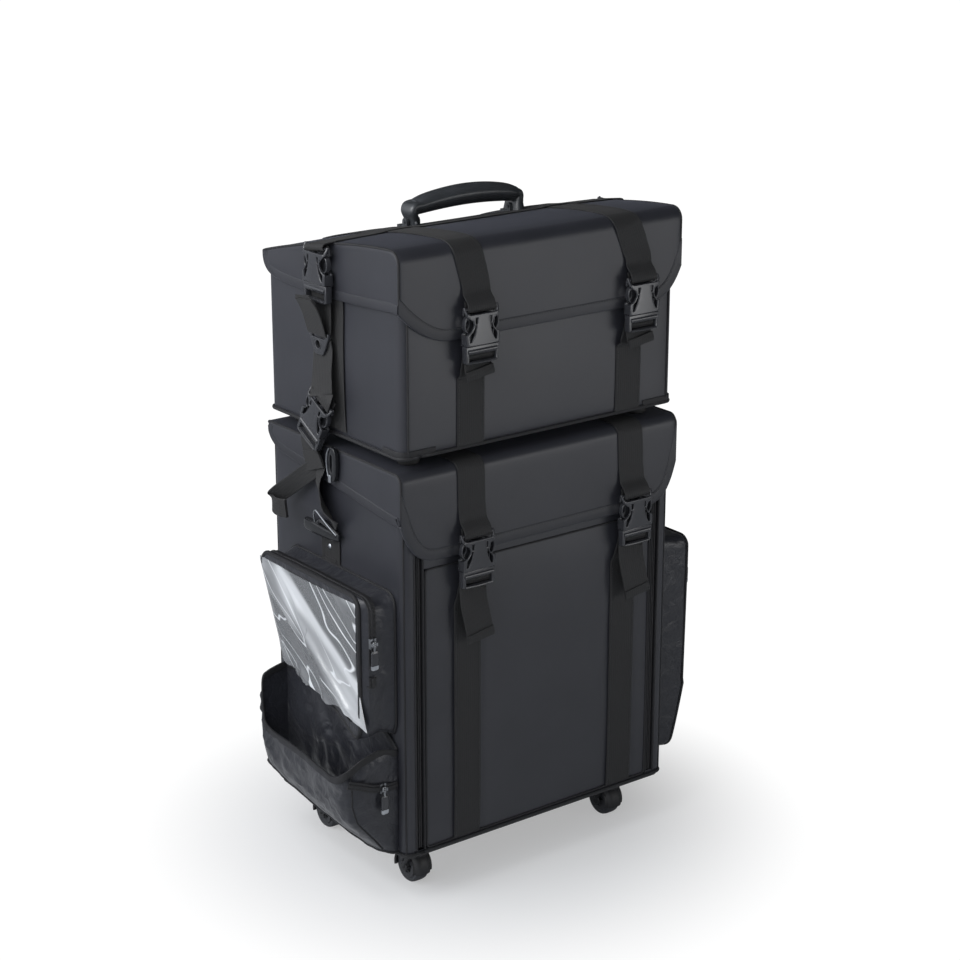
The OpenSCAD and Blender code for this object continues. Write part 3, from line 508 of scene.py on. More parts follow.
def ripple(points: Points, size_mm: float, seed: float, detail: int = 1) -> Points:
    """Soft repeatable noise at each point.

    Args:
        points: The points, in millimetres, in rows of any shape.
        size_mm: Size of the bumps.
        seed: Moves the pattern.
        detail: Octaves.

    Returns:
        Values from about minus one to one, in the same rows.
    """
    flat = np.reshape(points, (-1, 3)) / size_mm + seed * 7.31
    out = np.zeros(len(flat))
    for octave in range(detail):
        out += [noise.noise(Vector(q)) / 2 ** octave for q in flat * 2 ** octave]
    return out.reshape(np.shape(points)[:-1])


def make_piece(name: str, points: Points, faces: Sequence[Sequence[int]], finish: Finish,
               uvs: Sequence[Sequence[tuple[float, float]]] | None = None, sharp: float = 35.0) -> Obj:
    """Makes an object from points and faces.

    Args:
        name: The piece's name.
        points: The points, in millimetres.
        faces: Point numbers of each face.
        finish: What it is made of.
        uvs: Metres across and along, for each corner of each face.
        sharp: Edges that bend more than this many degrees stay crisp.

    Returns:
        The new object.
    """
    mesh = bpy.data.meshes.new(name)
    mesh.from_pydata((np.reshape(points, (-1, 3)) * MM).tolist(), [], [list(f) for f in faces])
    if uvs is not None:
        layer = mesh.uv_layers.new(name="UVMap")
        layer.data.foreach_set("uv", np.array([c for f in uvs for c in f], float).ravel())
    work = bmesh.new()
    work.from_mesh(mesh)
    bmesh.ops.remove_doubles(work, verts=work.verts, dist=1e-6)
    bmesh.ops.recalc_face_normals(work, faces=work.faces)
    work.to_mesh(mesh)
    work.free()
    mesh.materials.append(finish.material())
    settle(mesh, sharp)
    return put(name, mesh)


def settle(mesh: bpy.types.Mesh, sharp: float = 35.0) -> None:
    """Shades a mesh smooth but for its sharp edges."""
    mesh.shade_smooth()
    mesh.set_sharp_from_angle(angle=math.radians(sharp))


def bake(piece: Obj, sharp: float = 35.0) -> Obj:
    """Applies a piece's modifiers.

    Args:
        piece: The object.
        sharp: Edges that bend more than this many degrees stay crisp.

    Returns:
        The same object.
    """
    view = bpy.context.evaluated_depsgraph_get()
    view.update()
    mesh = bpy.data.meshes.new_from_object(piece.evaluated_get(view))
    piece.modifiers.clear()
    old, piece.data = piece.data, mesh
    bpy.data.meshes.remove(old)
    settle(mesh, sharp)
    return piece


def soften(piece: Obj, width_mm: float, steps: int = 2, angle: float = 40.0) -> Obj:
    """Rounds a piece's crisp edges.

    Args:
        piece: The object.
        width_mm: Width of the rounding.
        steps: Segments across it.
        angle: Edges that bend more than this are rounded.

    Returns:
        The same object.
    """
    edge = piece.modifiers.new("edge", "BEVEL")
    edge.width, edge.segments, edge.limit_method = width_mm * MM, steps, "ANGLE"
    edge.angle_limit = math.radians(angle)
    edge.use_clamp_overlap = True
    return bake(piece, 45.0)


def carve(piece: Obj, cutters: Sequence[Obj]) -> Obj:
    """Cuts solids out of a piece, and removes them.

    Args:
        piece: The object.
        cutters: Closed solids.

    Returns:
        The same object.
    """
    for cutter in cutters:
        cut = piece.modifiers.new("cut", "BOOLEAN")
        cut.operation, cut.solver, cut.object = "DIFFERENCE", "EXACT", cutter
        cut.material_mode = "TRANSFER"
        bake(piece)
    for cutter in cutters:
        bpy.data.objects.remove(cutter)
    return piece


def join(name: str, parts: Sequence[Obj]) -> Obj:
    """Joins parts to one piece.

    Args:
        name: The piece's name.
        parts: Objects to join.

    Returns:
        The joined piece.
    """
    for part in parts:
        part.data.transform(part.matrix_world)
        part.matrix_world = Matrix.Identity(4)
    with bpy.context.temp_override(active_object=parts[0], object=parts[0], selected_objects=list(parts),
                                   selected_editable_objects=list(parts)):
        bpy.ops.object.join()
    parts[0].name = parts[0].data.name = name
    return parts[0]


def lengths(line: Points) -> Points:
    """Distance along a line at each of its points, in metres."""
    return np.concatenate([[0], np.cumsum(np.linalg.norm(np.diff(line, axis=0), axis=1))]) * MM


def slab(name: str, outer: Points, inner: Points, finish: Finish, edge_mm: float = 0.0) -> Obj:
    """Closes the space between two grids of points.

    Args:
        name: The piece's name.
        outer: Rows and columns of points on the outer face.
        inner: The same on the inner face.
        finish: What it is made of.
        edge_mm: Rounding of its border, or 0 for none.

    Returns:
        The new object.
    """
    rows, cols = outer.shape[:2]
    count = rows * cols
    u, v = lengths(outer[rows // 2]), lengths(outer[:, cols // 2])
    faces, uvs = [], []
    for r in range(rows - 1):
        for c in range(cols - 1):
            quad = [(r, c), (r, c + 1), (r + 1, c + 1), (r + 1, c)]
            spots = [(u[b], v[a]) for a, b in quad]
            faces.append([a * cols + b for a, b in quad])
            faces.append([count + a * cols + b for a, b in reversed(quad)])
            uvs += [spots, spots[::-1]]
    rim = [(0, c) for c in range(cols)] + [(r, cols - 1) for r in range(1, rows)]
    rim += [(rows - 1, c) for c in range(cols - 2, -1, -1)] + [(r, 0) for r in range(rows - 2, 0, -1)]
    for (a, b), (c, d) in zip(rim, rim[1:] + rim[:1]):
        faces.append([c * cols + d, a * cols + b, count + a * cols + b, count + c * cols + d])
        uvs.append([(u[d], v[c]), (u[b], v[a]), (u[b], v[a] + WEB_T * MM), (u[d], v[c] + WEB_T * MM)])
    piece = make_piece(name, np.concatenate([outer.reshape(-1, 3), inner.reshape(-1, 3)]), faces, finish, uvs)
    return soften(piece, edge_mm) if edge_mm else piece


def lofted(name: str, rings: Points, finish: Finish, sharp: float = 35.0) -> Obj:
    """Joins a stack of closed rings and closes both ends.

    Args:
        name: The piece's name.
        rings: Rings of as many points each.
        finish: What it is made of.
        sharp: Edges that bend more than this many degrees stay crisp.

    Returns:
        The new object.
    """
    rings = np.asarray(rings, float)
    rows, cols = rings.shape[:2]
    around = lengths(np.vstack([rings[rows // 2], rings[rows // 2][:1]]))
    along = lengths(rings[:, 0])
    faces, uvs = [], []
    for r in range(rows - 1):
        for c in range(cols):
            n = (c + 1) % cols
            faces.append([r * cols + c, r * cols + n, (r + 1) * cols + n, (r + 1) * cols + c])
            uvs.append([(around[c], along[r]), (around[c + 1], along[r]), (around[c + 1], along[r + 1]),
                        (around[c], along[r + 1])])
    points = np.concatenate([rings.reshape(-1, 3), [rings[0].mean(0), rings[-1].mean(0)]])
    for ring, centre in ((0, rows * cols), (rows - 1, rows * cols + 1)):
        for c in range(cols):
            faces.append([ring * cols + c, ring * cols + (c + 1) % cols, centre])
            uvs.append([(around[c], along[ring]), (around[c + 1], along[ring]), (around[c], along[ring] + 0.01)])
    return make_piece(name, points, faces, finish, uvs, sharp)


def swept(name: str, line: Points, across: Any, section: Points, finish: Finish,
          grow: Callable[[float], float] | None = None, sharp: float = 35.0) -> Obj:
    """Sweeps a section along a line.

    Args:
        name: The piece's name.
        line: The line's points, in millimetres.
        across: The section's first axis, one vector or one for each point.
        section: Points of the section, along that axis and at right angles to it.
        finish: What it is made of.
        grow: Scale of the section for each share of the way.
        sharp: Edges that bend more than this many degrees stay crisp.

    Returns:
        The new object.
    """
    line = np.asarray(line, float)
    tangent = unit(np.gradient(line, axis=0))
    side = np.broadcast_to(np.asarray(across, float), line.shape)
    side = unit(side - (side * tangent).sum(1, keepdims=True) * tangent)
    up = np.cross(tangent, side)
    share = np.linspace(0, 1, len(line))
    scale = np.array([grow(s) if grow else 1.0 for s in share])[:, None, None]
    shape = np.asarray(section, float)
    rings = line[:, None] + scale * (shape[None, :, :1] * side[:, None] + shape[None, :, 1:] * up[:, None])
    return lofted(name, rings, finish, sharp)


def circle(radius: float, count: int = 14, flat: float = 1.0) -> Points:
    """Points of a circle, or of an oval where flat isn't one."""
    a = np.linspace(0, TURN, count, endpoint=False)
    return np.stack([radius * np.cos(a), flat * radius * np.sin(a)], 1)


def rounded_rectangle(width: float, height: float, radius: float, steps: int = 3) -> Points:
    """Draws a rectangle with round corners, centred on the origin.

    Args:
        width: Its width.
        height: Its height.
        radius: Radius of its corners.
        steps: Segments in each corner.

    Returns:
        Its points.
    """
    out = []
    for sx, sy, start in ((1, 1, 0), (-1, 1, 90), (-1, -1, 180), (1, -1, 270)):
        for k in range(steps + 1):
            a = math.radians(start + 90 * k / steps)
            out.append((sx * (width / 2 - radius) + radius * math.cos(a),
                        sy * (height / 2 - radius) + radius * math.sin(a)))
    return np.array(out)


def spun(profile: Iterable[tuple[float, float]], count: int, centre: Sequence[float], axis: int,
         oval: float = 1.0) -> Points:
    """Turns a profile about an axis.

    Args:
        profile: Radius and place along the axis, step by step.
        count: Points in each ring.
        centre: Where both are measured from, in millimetres.
        axis: 0 turns about x, and 2 about z.
        oval: Stretch of the rings in their second direction.

    Returns:
        The rings.
    """
    angles = np.linspace(0, TURN, count, endpoint=False)
    rings = [np.column_stack([r * np.cos(angles), oval * r * np.sin(angles), np.full(count, h)])
             for r, h in profile]
    return np.array(rings)[..., [2, 0, 1] if axis == 0 else [0, 1, 2]] + centre


def closed(ring: Points) -> Points:
    """Repeats a ring's first two points, so that what is swept along it meets itself."""
    return np.vstack([ring, ring[:2]])


def hand(sign: float) -> str:
    """Name of the side that a sign stands for."""
    return "left" if sign < 0 else "right"


def only_first(i: int, *nodes: str) -> tuple[str, ...]:
    """CAD nodes that the first of several like pieces stands for."""
    return () if i else nodes


def coil_zip(line: Points, lift: Any, across: Sequence[float], tape: tuple[float, float], radius: float) -> list[Obj]:
    """A woven tape with its coil.

    Args:
        line: The tape's line, in millimetres.
        lift: The coil's shift from it, one vector or one for each point.
        across: Direction of the tape's width.
        tape: The tape's width and thickness.
        radius: Half the coil's width.

    Returns:
        Both parts.
    """
    return [swept("tape", line, across, rounded_rectangle(*tape, 0.5), coil_tape),
            swept("coil", line + lift, across, circle(radius, 10, 0.6), coil_tape)]


def tube(name: str, points: Iterable[Sequence[float]], radius: float, finish: Finish, steps: int = 5,
         count: int = 10, across: Sequence[float] = (0.31, 0.52, 0.79)) -> Obj:
    """A round bar or piping along a smooth line through points."""
    return swept(name, smooth_line(points, steps), across, circle(radius, count), finish)


def plate(name: str, outline: Sequence[Sequence[float]], holes: Sequence[Sequence[Sequence[float]]],
          y_low: float, y_high: float, finish: Finish, edge: float = 0.8, crown: float = 0.0) -> Obj:
    """A moulded plate in the x-z plane with rounded edges.

    Args:
        name: The piece's name.
        outline: Its [x, z] points.
        holes: The [x, z] points of each hole.
        y_low: Its front.
        y_high: Its back.
        finish: What it is made of.
        edge: Rounding of its edges.
        crown: How far its middle stands out to the front.

    Returns:
        The new object.
    """
    curve = bpy.data.curves.new(name, "CURVE")
    curve.dimensions, curve.fill_mode = "2D", "BOTH"
    curve.extrude = max((y_high - y_low) / 2 - edge, 0.01) * MM
    curve.bevel_depth, curve.bevel_resolution, curve.offset = edge * MM, 2, -edge * MM
    for ring in [outline, *holes]:
        spline = curve.splines.new("POLY")
        spline.points.add(len(ring) - 1)
        for point, (x, z) in zip(spline.points, ring):
            point.co = (x * MM, z * MM, 0, 1)
        spline.use_cyclic_u = True
    shape = put(name, curve)
    bpy.context.view_layer.update()
    mesh = bpy.data.meshes.new_from_object(shape.evaluated_get(bpy.context.evaluated_depsgraph_get()))
    bpy.data.objects.remove(shape)
    half = max(abs(p[0]) for p in outline)
    work = bmesh.new()
    work.from_mesh(mesh)
    bmesh.ops.remove_doubles(work, verts=work.verts, dist=1e-6)
    if crown:
        for k in range(-4, 5):
            parts = list(work.verts) + list(work.edges) + list(work.faces)
            bmesh.ops.bisect_plane(work, geom=parts, plane_co=(k * half / 5 * MM, 0, 0), plane_no=(1, 0, 0))
    middle = (y_low + y_high) / 2 * MM
    for v in work.verts:
        bulge = crown * MM * (1 - (v.co.x / (half * MM)) ** 2)
        v.co = Vector((v.co.x, middle - v.co.z - bulge, v.co.y))
    bmesh.ops.recalc_face_normals(work, faces=work.faces)
    work.to_mesh(mesh)
    work.free()
    mesh.materials.clear()
    mesh.materials.append(finish.material())
    settle(mesh, 40.0)
    return put(name, mesh)


def block(name: str, low: Sequence[float], high: Sequence[float], finish: Finish, edge: float = 0.0) -> Obj:
    """Makes a box.

    Args:
        name: The piece's name.
        low: One corner.
        high: The corner across from it.
        finish: What it is made of.
        edge: Rounding of its edges, or 0 for none.

    Returns:
        The new object.
    """
    x, y, z = np.sort([low, high], axis=0).T
    corners = np.array([(a, b, c) for a in x for b in y for c in z], float)
    faces = [(0, 1, 3, 2), (4, 6, 7, 5), (0, 4, 5, 1), (2, 3, 7, 6), (0, 2, 6, 4), (1, 5, 7, 3)]
    piece = make_piece(name, corners, faces, finish, [[(0, 0), (0.01, 0), (0.01, 0.01), (0, 0.01)]] * 6)
    return soften(piece, edge, 3) if edge else piece


def stitches(name: str, line: Points, pitch: float = 4.0, size: float = 0.45) -> Obj:
    """A row of separate stitches laid along a line.

    Args:
        name: The piece's name.
        line: The line's points, in millimetres.
        pitch: Distance from stitch to stitch.
        size: Half the thread's thickness.

    Returns:
        The new object.
    """
    along = lengths(line) / MM
    marks = np.arange(pitch / 2, along[-1], pitch)
    middle = np.stack([np.interp(marks, along, line[:, k]) for k in range(3)], 1)
    ahead = unit(np.stack([np.interp(marks + 0.5, along, line[:, k]) for k in range(3)], 1) - middle + 1e-6)
    side = unit(np.cross(ahead, (0.123, 0.456, 0.881)))
    up = np.cross(ahead, side)
    points, faces, uvs = [], [], []
    for m, a, s, u in zip(middle, ahead, side, up):
        base = len(points)
        for reach, wide in ((-0.36, 0.4), (-0.2, 1.0), (0.2, 1.0), (0.36, 0.4)):
            for x, y in ((1, 0), (0, 1), (-1, 0), (0, -1)):
                points.append(m + a * reach * pitch + (s * x + u * y) * size * wide)
        for r in range(3):
            for c in range(4):
                n = (c + 1) % 4
                faces.append([base + r * 4 + c, base + r * 4 + n, base + r * 4 + 4 + n, base + r * 4 + 4 + c])
        faces += [[base, base + 1, base + 2, base + 3], [base + 12, base + 13, base + 14, base + 15]]
    uvs = [[(0, 0), (0.001, 0), (0.001, 0.001), (0, 0.001)]] * len(faces)
    return make_piece(name, np.array(points), faces, sewing_thread, uvs)


def place(piece: Obj, body: Body | str, slot: str, *nodes: str) -> Obj:
    """Hands a finished piece to its body.

    Args:
        piece: The object.
        body: The CAD body that it moves with.
        slot: The record's material slot; not used.
        nodes: CAD nodes that it stands for.

    Returns:
        The same object.
    """
    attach(piece, body.value if isinstance(body, Body) else body)
    if nodes:
        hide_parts(*nodes)
    log.info("%s: %d faces", piece.name, len(piece.data.polygons))
    return piece


# Buckles

@dataclass
class SideReleaseBuckle:
    """A two-part release buckle for 38 mm webbing. Its top is at z = 0 and its face looks to the front."""
    half: float = 25.0
    height: float = BUCKLE_LENGTH
    depth: float = 12.0
    mouth: float = -43.0
    narrow: float = 0.91

    def mirrored(self, right: Sequence[tuple[float, float]]) -> list[tuple[float, float]]:
        """Adds the left half of an outline to its right half."""
        return list(right) + [(-x, z) for x, z in reversed(right)]

    def face(self) -> list[tuple[float, float]]:
        """Outline of the socket's front, with its waist between the release arms.

        Returns:
            Its [x, z] points.
        """
        bar, h, m = -7.5, self.half, self.mouth
        return self.mirrored([(0, bar), (19, bar), (22, -6.5), (24, -9), (21, -12), (16.5, -14.5), (14.2, -18.5),
                              (14.6, -22.5), (17.5, -26.5), (21.5, -28.6), (h, -30), (h, m), (0, m)])

    def socket(self) -> bpy.types.Mesh:
        """Builds the half that hangs on the upper strap.

        Returns:
            Its mesh.
        """
        short = [(8.6, -11.5), (12.2, -11.5), (12.2, -18), (9.6, -18)]
        long = [(10.2, -20), (12.4, -20), (15, -25), (20.4, -31), (20.4, -38.5), (17.6, -38), (12.6, -29)]
        slots = [short, long, [(-x, z) for x, z in reversed(short)], [(-x, z) for x, z in reversed(long)]]
        front = plate("front", self.face(), slots, -6.0, -3.2, buckle_acetal, 0.9, 0.9)
        back = plate("back", self.face(), [], 3.2, 6.0, buckle_acetal, 0.8)
        parts = [front, back]
        for s in (-1, 1):
            rail = (s * 21.2, -5.4, self.mouth + 0.2), (s * self.half, 5.4, -31)
            parts += [block("rail", *rail, buckle_acetal, 0.8),
                      block("post", (s * 5.0, -4.5, -15), (s * 9.0, 4.5, -8.2), buckle_acetal, 0.6)]
            horn = [(s * 22.6, -3.2, -8.4), (s * 23.6, -2.4, -5.5), (s * 24.3, -1.2, -2.6), (s * 24.5, 0, 0.2)]
            parts.append(swept("horn", smooth_line(horn), (1, 0, 0), circle(1.9, 12), buckle_acetal,
                               lambda t: 1.15 - 0.35 * t))
            arm = [(s * 22.6, 3.4, -8.4), (s * 23.8, 2, -4), (s * 24.5, 0.5, -0.4)]
            parts.append(swept("horn", smooth_line(arm), (1, 0, 0), circle(1.7, 12), buckle_acetal))
        parts.append(tube("bar", [(-24, 0, -2.2), (0, 0, -2.2), (24, 0, -2.2)], 2.2, buckle_acetal, 4, 14,
                          (0, 1, 0)))
        return self.finished("buckle_socket_shape", parts)

    def plug(self) -> bpy.types.Mesh:
        """Builds the half with the arms, the adjusting bar and the webbing slot.

        Returns:
            Its mesh.
        """
        low, top = -self.height, self.mouth - 0.4
        outline = [(-24.4, low + 1.2), (-21, low), (21, low), (24.4, low + 1.2), (25, top), (-25, top)]
        slot = [(-20, low + 3), (20, low + 3), (20, low + 11), (-20, low + 11)]
        parts = [plate("frame", outline, [slot], -4.4, 4.4, buckle_acetal, 1.2)]
        lip = [(-21, -4.2, low + 1.6), (0, -4.8, low + 1.3), (21, -4.2, low + 1.6)]
        parts.append(tube("lip", lip, 1.3, buckle_acetal, 6, 10, (0, 1, 0)))
        bar = [(-22, -1.5, low + 14.6), (0, -1.5, low + 14.6), (22, -1.5, low + 14.6)]
        parts.append(swept("bar", np.array(bar, float), (0, 1, 0), circle(4.3, 18, 0.8), buckle_acetal))
        parts.append(block("tongue", (-5.4, -2, top - 1), (5.4, 2, top + 19), buckle_acetal, 1.2))
        for s in (-1, 1):
            arm = [(s * 16.6, 0, top - 2), (s * 17, 0, -34), (s * 17.6, 0, -28.6), (s * 21.4, 0, -27.6),
                   (s * 24.6, 0, -22.8), (s * 24.7, 0, -16.5), (s * 22, 0, -11.6), (s * 17.4, 0, -10.4)]
            parts.append(swept("arm", smooth_line(arm), (0, 1, 0), rounded_rectangle(6.4, 2.0, 0.9), buckle_acetal))
        return self.finished("buckle_plug_shape", parts)

    def finished(self, name: str, parts: list[Obj]) -> bpy.types.Mesh:
        """Joins the parts and gives their mesh alone.

        Args:
            name: The mesh's name.
            parts: Objects to join.

        Returns:
            The mesh.
        """
        whole = join(name, parts)
        mesh = whole.data
        mesh.transform(Matrix.Diagonal((self.narrow, 1, 1, 1)))
        bpy.data.objects.remove(whole)
        return mesh

    def on_front(self, x: float, top_z: float) -> Matrix:
        """Place of a buckle on the front of the case."""
        return Matrix.Translation(Vector((x, FRONT_BUCKLE_Y, top_z)) * MM)

    def on_side(self, side: Side, y: float, top_z: float, lean: float = 0.0) -> Matrix:
        """Place of a buckle on a side of the case, its face looking away from it.

        Args:
            side: Which side.
            y: Its place from front to back.
            top_z: Its top.
            lean: Turn to the back, in degrees.

        Returns:
            Its matrix.
        """
        return (Matrix.Translation(Vector((side.value * SIDE_X, y, top_z)) * MM)
                @ Matrix.Rotation(math.radians(lean), 4, "X")
                @ Matrix.Rotation(math.radians(90 * side.value), 4, "Z"))

    def hang(self, name: str, mesh: bpy.types.Mesh, where: Matrix, body: Body, *nodes: str) -> Obj:
        """Puts one half in its place.

        Args:
            name: The piece's name.
            mesh: The half's mesh.
            where: Its matrix.
            body: What it rides on.
            nodes: CAD nodes that it stands for.

        Returns:
            The piece.
        """
        piece = put(name, mesh)
        piece.matrix_world = where
        return place(piece, body, "buckle_plastic", *nodes)

    def build(self) -> None:
        """Hangs all eight buckles in their places."""
        socket, plug = self.socket(), self.plug()
        rows = (("upper_front", UPPER_BUCKLES, UPPER_BUCKLE_Z, Body.UPPER_LID, Body.UPPER, "upper_plugs"),
                ("lower_front", LOWER_BUCKLES, LOWER_BUCKLE_Z, Body.LOWER_LID, Body.DOOR, "door_plugs"))
        for row, places, top_z, lid, case, plugs in rows:
            for i, x in enumerate(places):
                spot = self.on_front(x, top_z)
                self.hang(f"{row}_socket_{i}", socket, spot, lid, *only_first(i, f"{lid.value}_sockets"))
                self.hang(f"{row}_plug_{i}", plug, spot, case, *only_first(i, plugs))
        for i, side in enumerate(Side):
            spot = self.on_side(side, SIDE_Y, SIDE_BUCKLE_Z)
            self.hang(f"lid_side_socket_{i}", socket, spot, Body.UPPER_LID)
            self.hang(f"lid_side_plug_{i}", plug, spot, Body.UPPER)
            spot = self.on_side(side, *CHAIN_TOP, CHAIN_LEAN)
            self.hang(f"chain_socket_{i}", socket, spot, Body.UPPER, *only_first(i, "chain_sockets"))
            self.hang(f"chain_plug_{i}", plug, spot, Body.LOWER, *only_first(i, "lower_side_plugs"))


# Webbing

@dataclass
class Webbing:
    """Ribbed webbing, with lengthwise ribs 3 mm apart."""
    width: float = WEB_W
    thick: float = 1.7
    rib: float = 3.0

    def section(self) -> Points:
        """The webbing's cut end, ribbed on both faces.

        Returns:
            Its points, across and through the webbing.
        """
        count = int(self.width / self.rib)
        xs = np.linspace(-self.width / 2 + 0.5, self.width / 2 - 0.5, count * 4 + 1)
        high = self.thick / 2 - 0.22 + 0.22 * np.abs(np.sin(np.linspace(0, math.pi * count, len(xs)))) ** 0.6
        top = np.stack([xs, high], 1)
        edge = [(self.width / 2, 0.25), (self.width / 2, -0.25)]
        return np.concatenate([top, edge, top[::-1] * (1, -1), np.negative(edge)])

    def strap(self, name: str, points: Iterable[Sequence[float]], across: Any, steps: int = 5) -> Obj:
        """Lays webbing along points.

        Args:
            name: The piece's name.
            points: The middle of the strap, in millimetres.
            across: Direction of its width, one vector or one for each point.
            steps: Samples between two points.

        Returns:
            The strap.
        """
        line = smooth_line(points, steps)
        wide = np.asarray(across, float)
        if wide.ndim == 2:
            wide = smooth_line(wide, steps)
        return swept(name, line, wide, self.section(), webbing)

    def box_stitch(self, name: str, middle: Sequence[float], across: Sequence[float], along: Sequence[float],
                   size: float = 26.0) -> Obj:
        """A square of stitches with its cross, on the webbing's face.

        Args:
            name: The piece's name.
            middle: Centre of the square, on the face.
            across: Unit vector over the strap.
            along: Unit vector along the strap.
            size: Side of the square.

        Returns:
            The stitches.
        """
        m, a, b = (np.asarray(v, float) for v in (middle, across, along))
        h = size / 2
        c = [m - a * h - b * h, m + a * h - b * h, m + a * h + b * h, m - a * h + b * h]
        rows = [np.linspace(c[i], c[(i + 1) % 4], 12) for i in range(4)]
        rows += [np.linspace(c[0], c[2], 14), np.linspace(c[1], c[3], 14)]
        return join(name, [stitches(f"{name}_{i}", r, 3.2, 0.4) for i, r in enumerate(rows)])


# Cases

@dataclass
class PaddedWalls:
    """Four padded board walls and a floor, wrapped in nylon, with a rounded rim."""
    low: float
    top: float
    floor: float
    bulge: float = 1.0
    radius: float = 11.0
    per_side: int = 26
    per_corner: int = 5

    def loop(self) -> tuple[Points, Points, Points]:
        """The wall's line seen from above.

        Returns:
            Points, outward directions, and how far each point may bulge, from 0 to 1.
        """
        hw, hd, r = HALF_W - self.radius, HALF_D - self.radius, self.radius
        pts, out, give = [], [], []
        sides = (((-hw, -HALF_D), (hw, -HALF_D), (0, -1), (hw, -hd)), ((HALF_W, -hd), (HALF_W, hd), (1, 0), (hw, hd)),
                 ((hw, HALF_D), (-hw, HALF_D), (0, 1), (-hw, hd)), ((-HALF_W, hd), (-HALF_W, -hd), (-1, 0), (-hw, -hd)))
        for start, end, way, centre in sides:
            for t in np.linspace(0, 1, self.per_side):
                pts.append(np.array(start) * (1 - t) + np.array(end) * t)
                out.append(way)
                give.append(math.sin(math.pi * t) ** 0.6)
            base = math.atan2(way[1], way[0])
            for k in range(1, self.per_corner):
                a = base + math.pi / 2 * k / self.per_corner
                out.append((math.cos(a), math.sin(a)))
                pts.append(np.array(centre) + r * np.array(out[-1]))
                give.append(0.0)
        return np.array(pts), np.array(out, float), np.array(give)

    def ring(self, z: float, inset: float, puff: float) -> Points:
        """One level of the walls.

        Args:
            z: Its height.
            inset: Distance inside the outer face.
            puff: Share of the full bulge here.

        Returns:
            The ring's points.
        """
        pts, out, give = self.loop()
        ring = np.column_stack([pts - out * inset, np.full(len(pts), z)])
        wave = ripple(ring, 130.0, self.low) * 0.7 + 0.25 * ripple(ring, 45.0, self.top)
        ring[:, :2] += out * (puff * give * (self.bulge + wave))[:, None]
        return ring

    def front(self, x: float, z: float) -> float:
        """How far the front wall bulges at a place.

        Args:
            x: The place across.
            z: Its height.

        Returns:
            Millimetres towards the front.
        """
        share = (z - self.low) / (self.top - self.low)
        reach = (x + HALF_W - self.radius) / (CASE_W - 2 * self.radius)
        spot = np.array((x, -HALF_D, z))
        wave = ripple(spot, 130.0, self.low) * 0.7 + 0.25 * ripple(spot, 45.0, self.top)
        puff = math.sin(math.pi * share) ** 0.5 * (1 - 0.75 * share ** 3)
        return float(puff * math.sin(math.pi * reach) ** 0.6 * (self.bulge + wave))

    def build(self, name: str) -> Obj:
        """Builds the walls and the floor as one closed shell.

        Args:
            name: The piece's name.

        Returns:
            The shell.
        """
        tall = self.top - self.low
        rings = [self.ring(self.low + dz, inset, 0) for dz, inset in ((0, 6), (0.2, 4), (1.2, 1.8), (3, 0.6), (5, 0))]
        for z in np.linspace(self.low + 12, self.top - 8, max(10, int(tall / 13))):
            share = (z - self.low) / tall
            rings.append(self.ring(z, 0, math.sin(math.pi * share) ** 0.5 * (1 - 0.75 * share ** 3)))
        for dz, inset in ((4, 0), (1.4, 0.5), (0.3, 1.8), (0, 3.5), (0.3, WALL - 1.6), (1.6, WALL - 0.4)):
            rings.append(self.ring(self.top - dz, inset, 0))
        for z in np.linspace(self.top - 6, self.floor + 1.5, 5):
            rings.append(self.ring(z, WALL, 0))
        rings.append(self.ring(self.floor, WALL + 1, 0))
        return lofted(name, rings, case_nylon)

    def edge_line(self, z: float, out: float) -> Points:
        """A closed line round the walls at one height."""
        return closed(self.ring(z, -out, 0))

    def piping(self, name: str, body: Body, foot: tuple[float, float, float], corner: tuple[float, float, float],
               heights: Sequence[float]) -> None:
        """Runs piping round the bottom and up the four corners.

        Args:
            name: The piece's name.
            body: What it rides on.
            foot: The bottom piping's height, distance outside the walls and radius.
            corner: The corner piping's distances inside the sides and inside the front, and its radius.
            heights: Heights of the corner piping's points.
        """
        parts = [swept("foot", self.edge_line(*foot[:2]), (0, 0, 1), circle(foot[2], 8), binding_nylon)]
        for sx in (-1, 1):
            for sy in (-1, 1):
                x, y = sx * (HALF_W - corner[0]), sy * (HALF_D - corner[1])
                parts.append(tube("corner", [(x, y, z) for z in heights], corner[2], binding_nylon, 4, 8))
        place(join(name, parts), body, "case_nylon")


LOWER_WALLS = PaddedWalls(LOWER_Z, LOWER_TOP, SHELF_TOP)
UPPER_WALLS = PaddedWalls(UPPER_Z, UPPER_TOP, UPPER_Z + WALL, bulge=1.8)


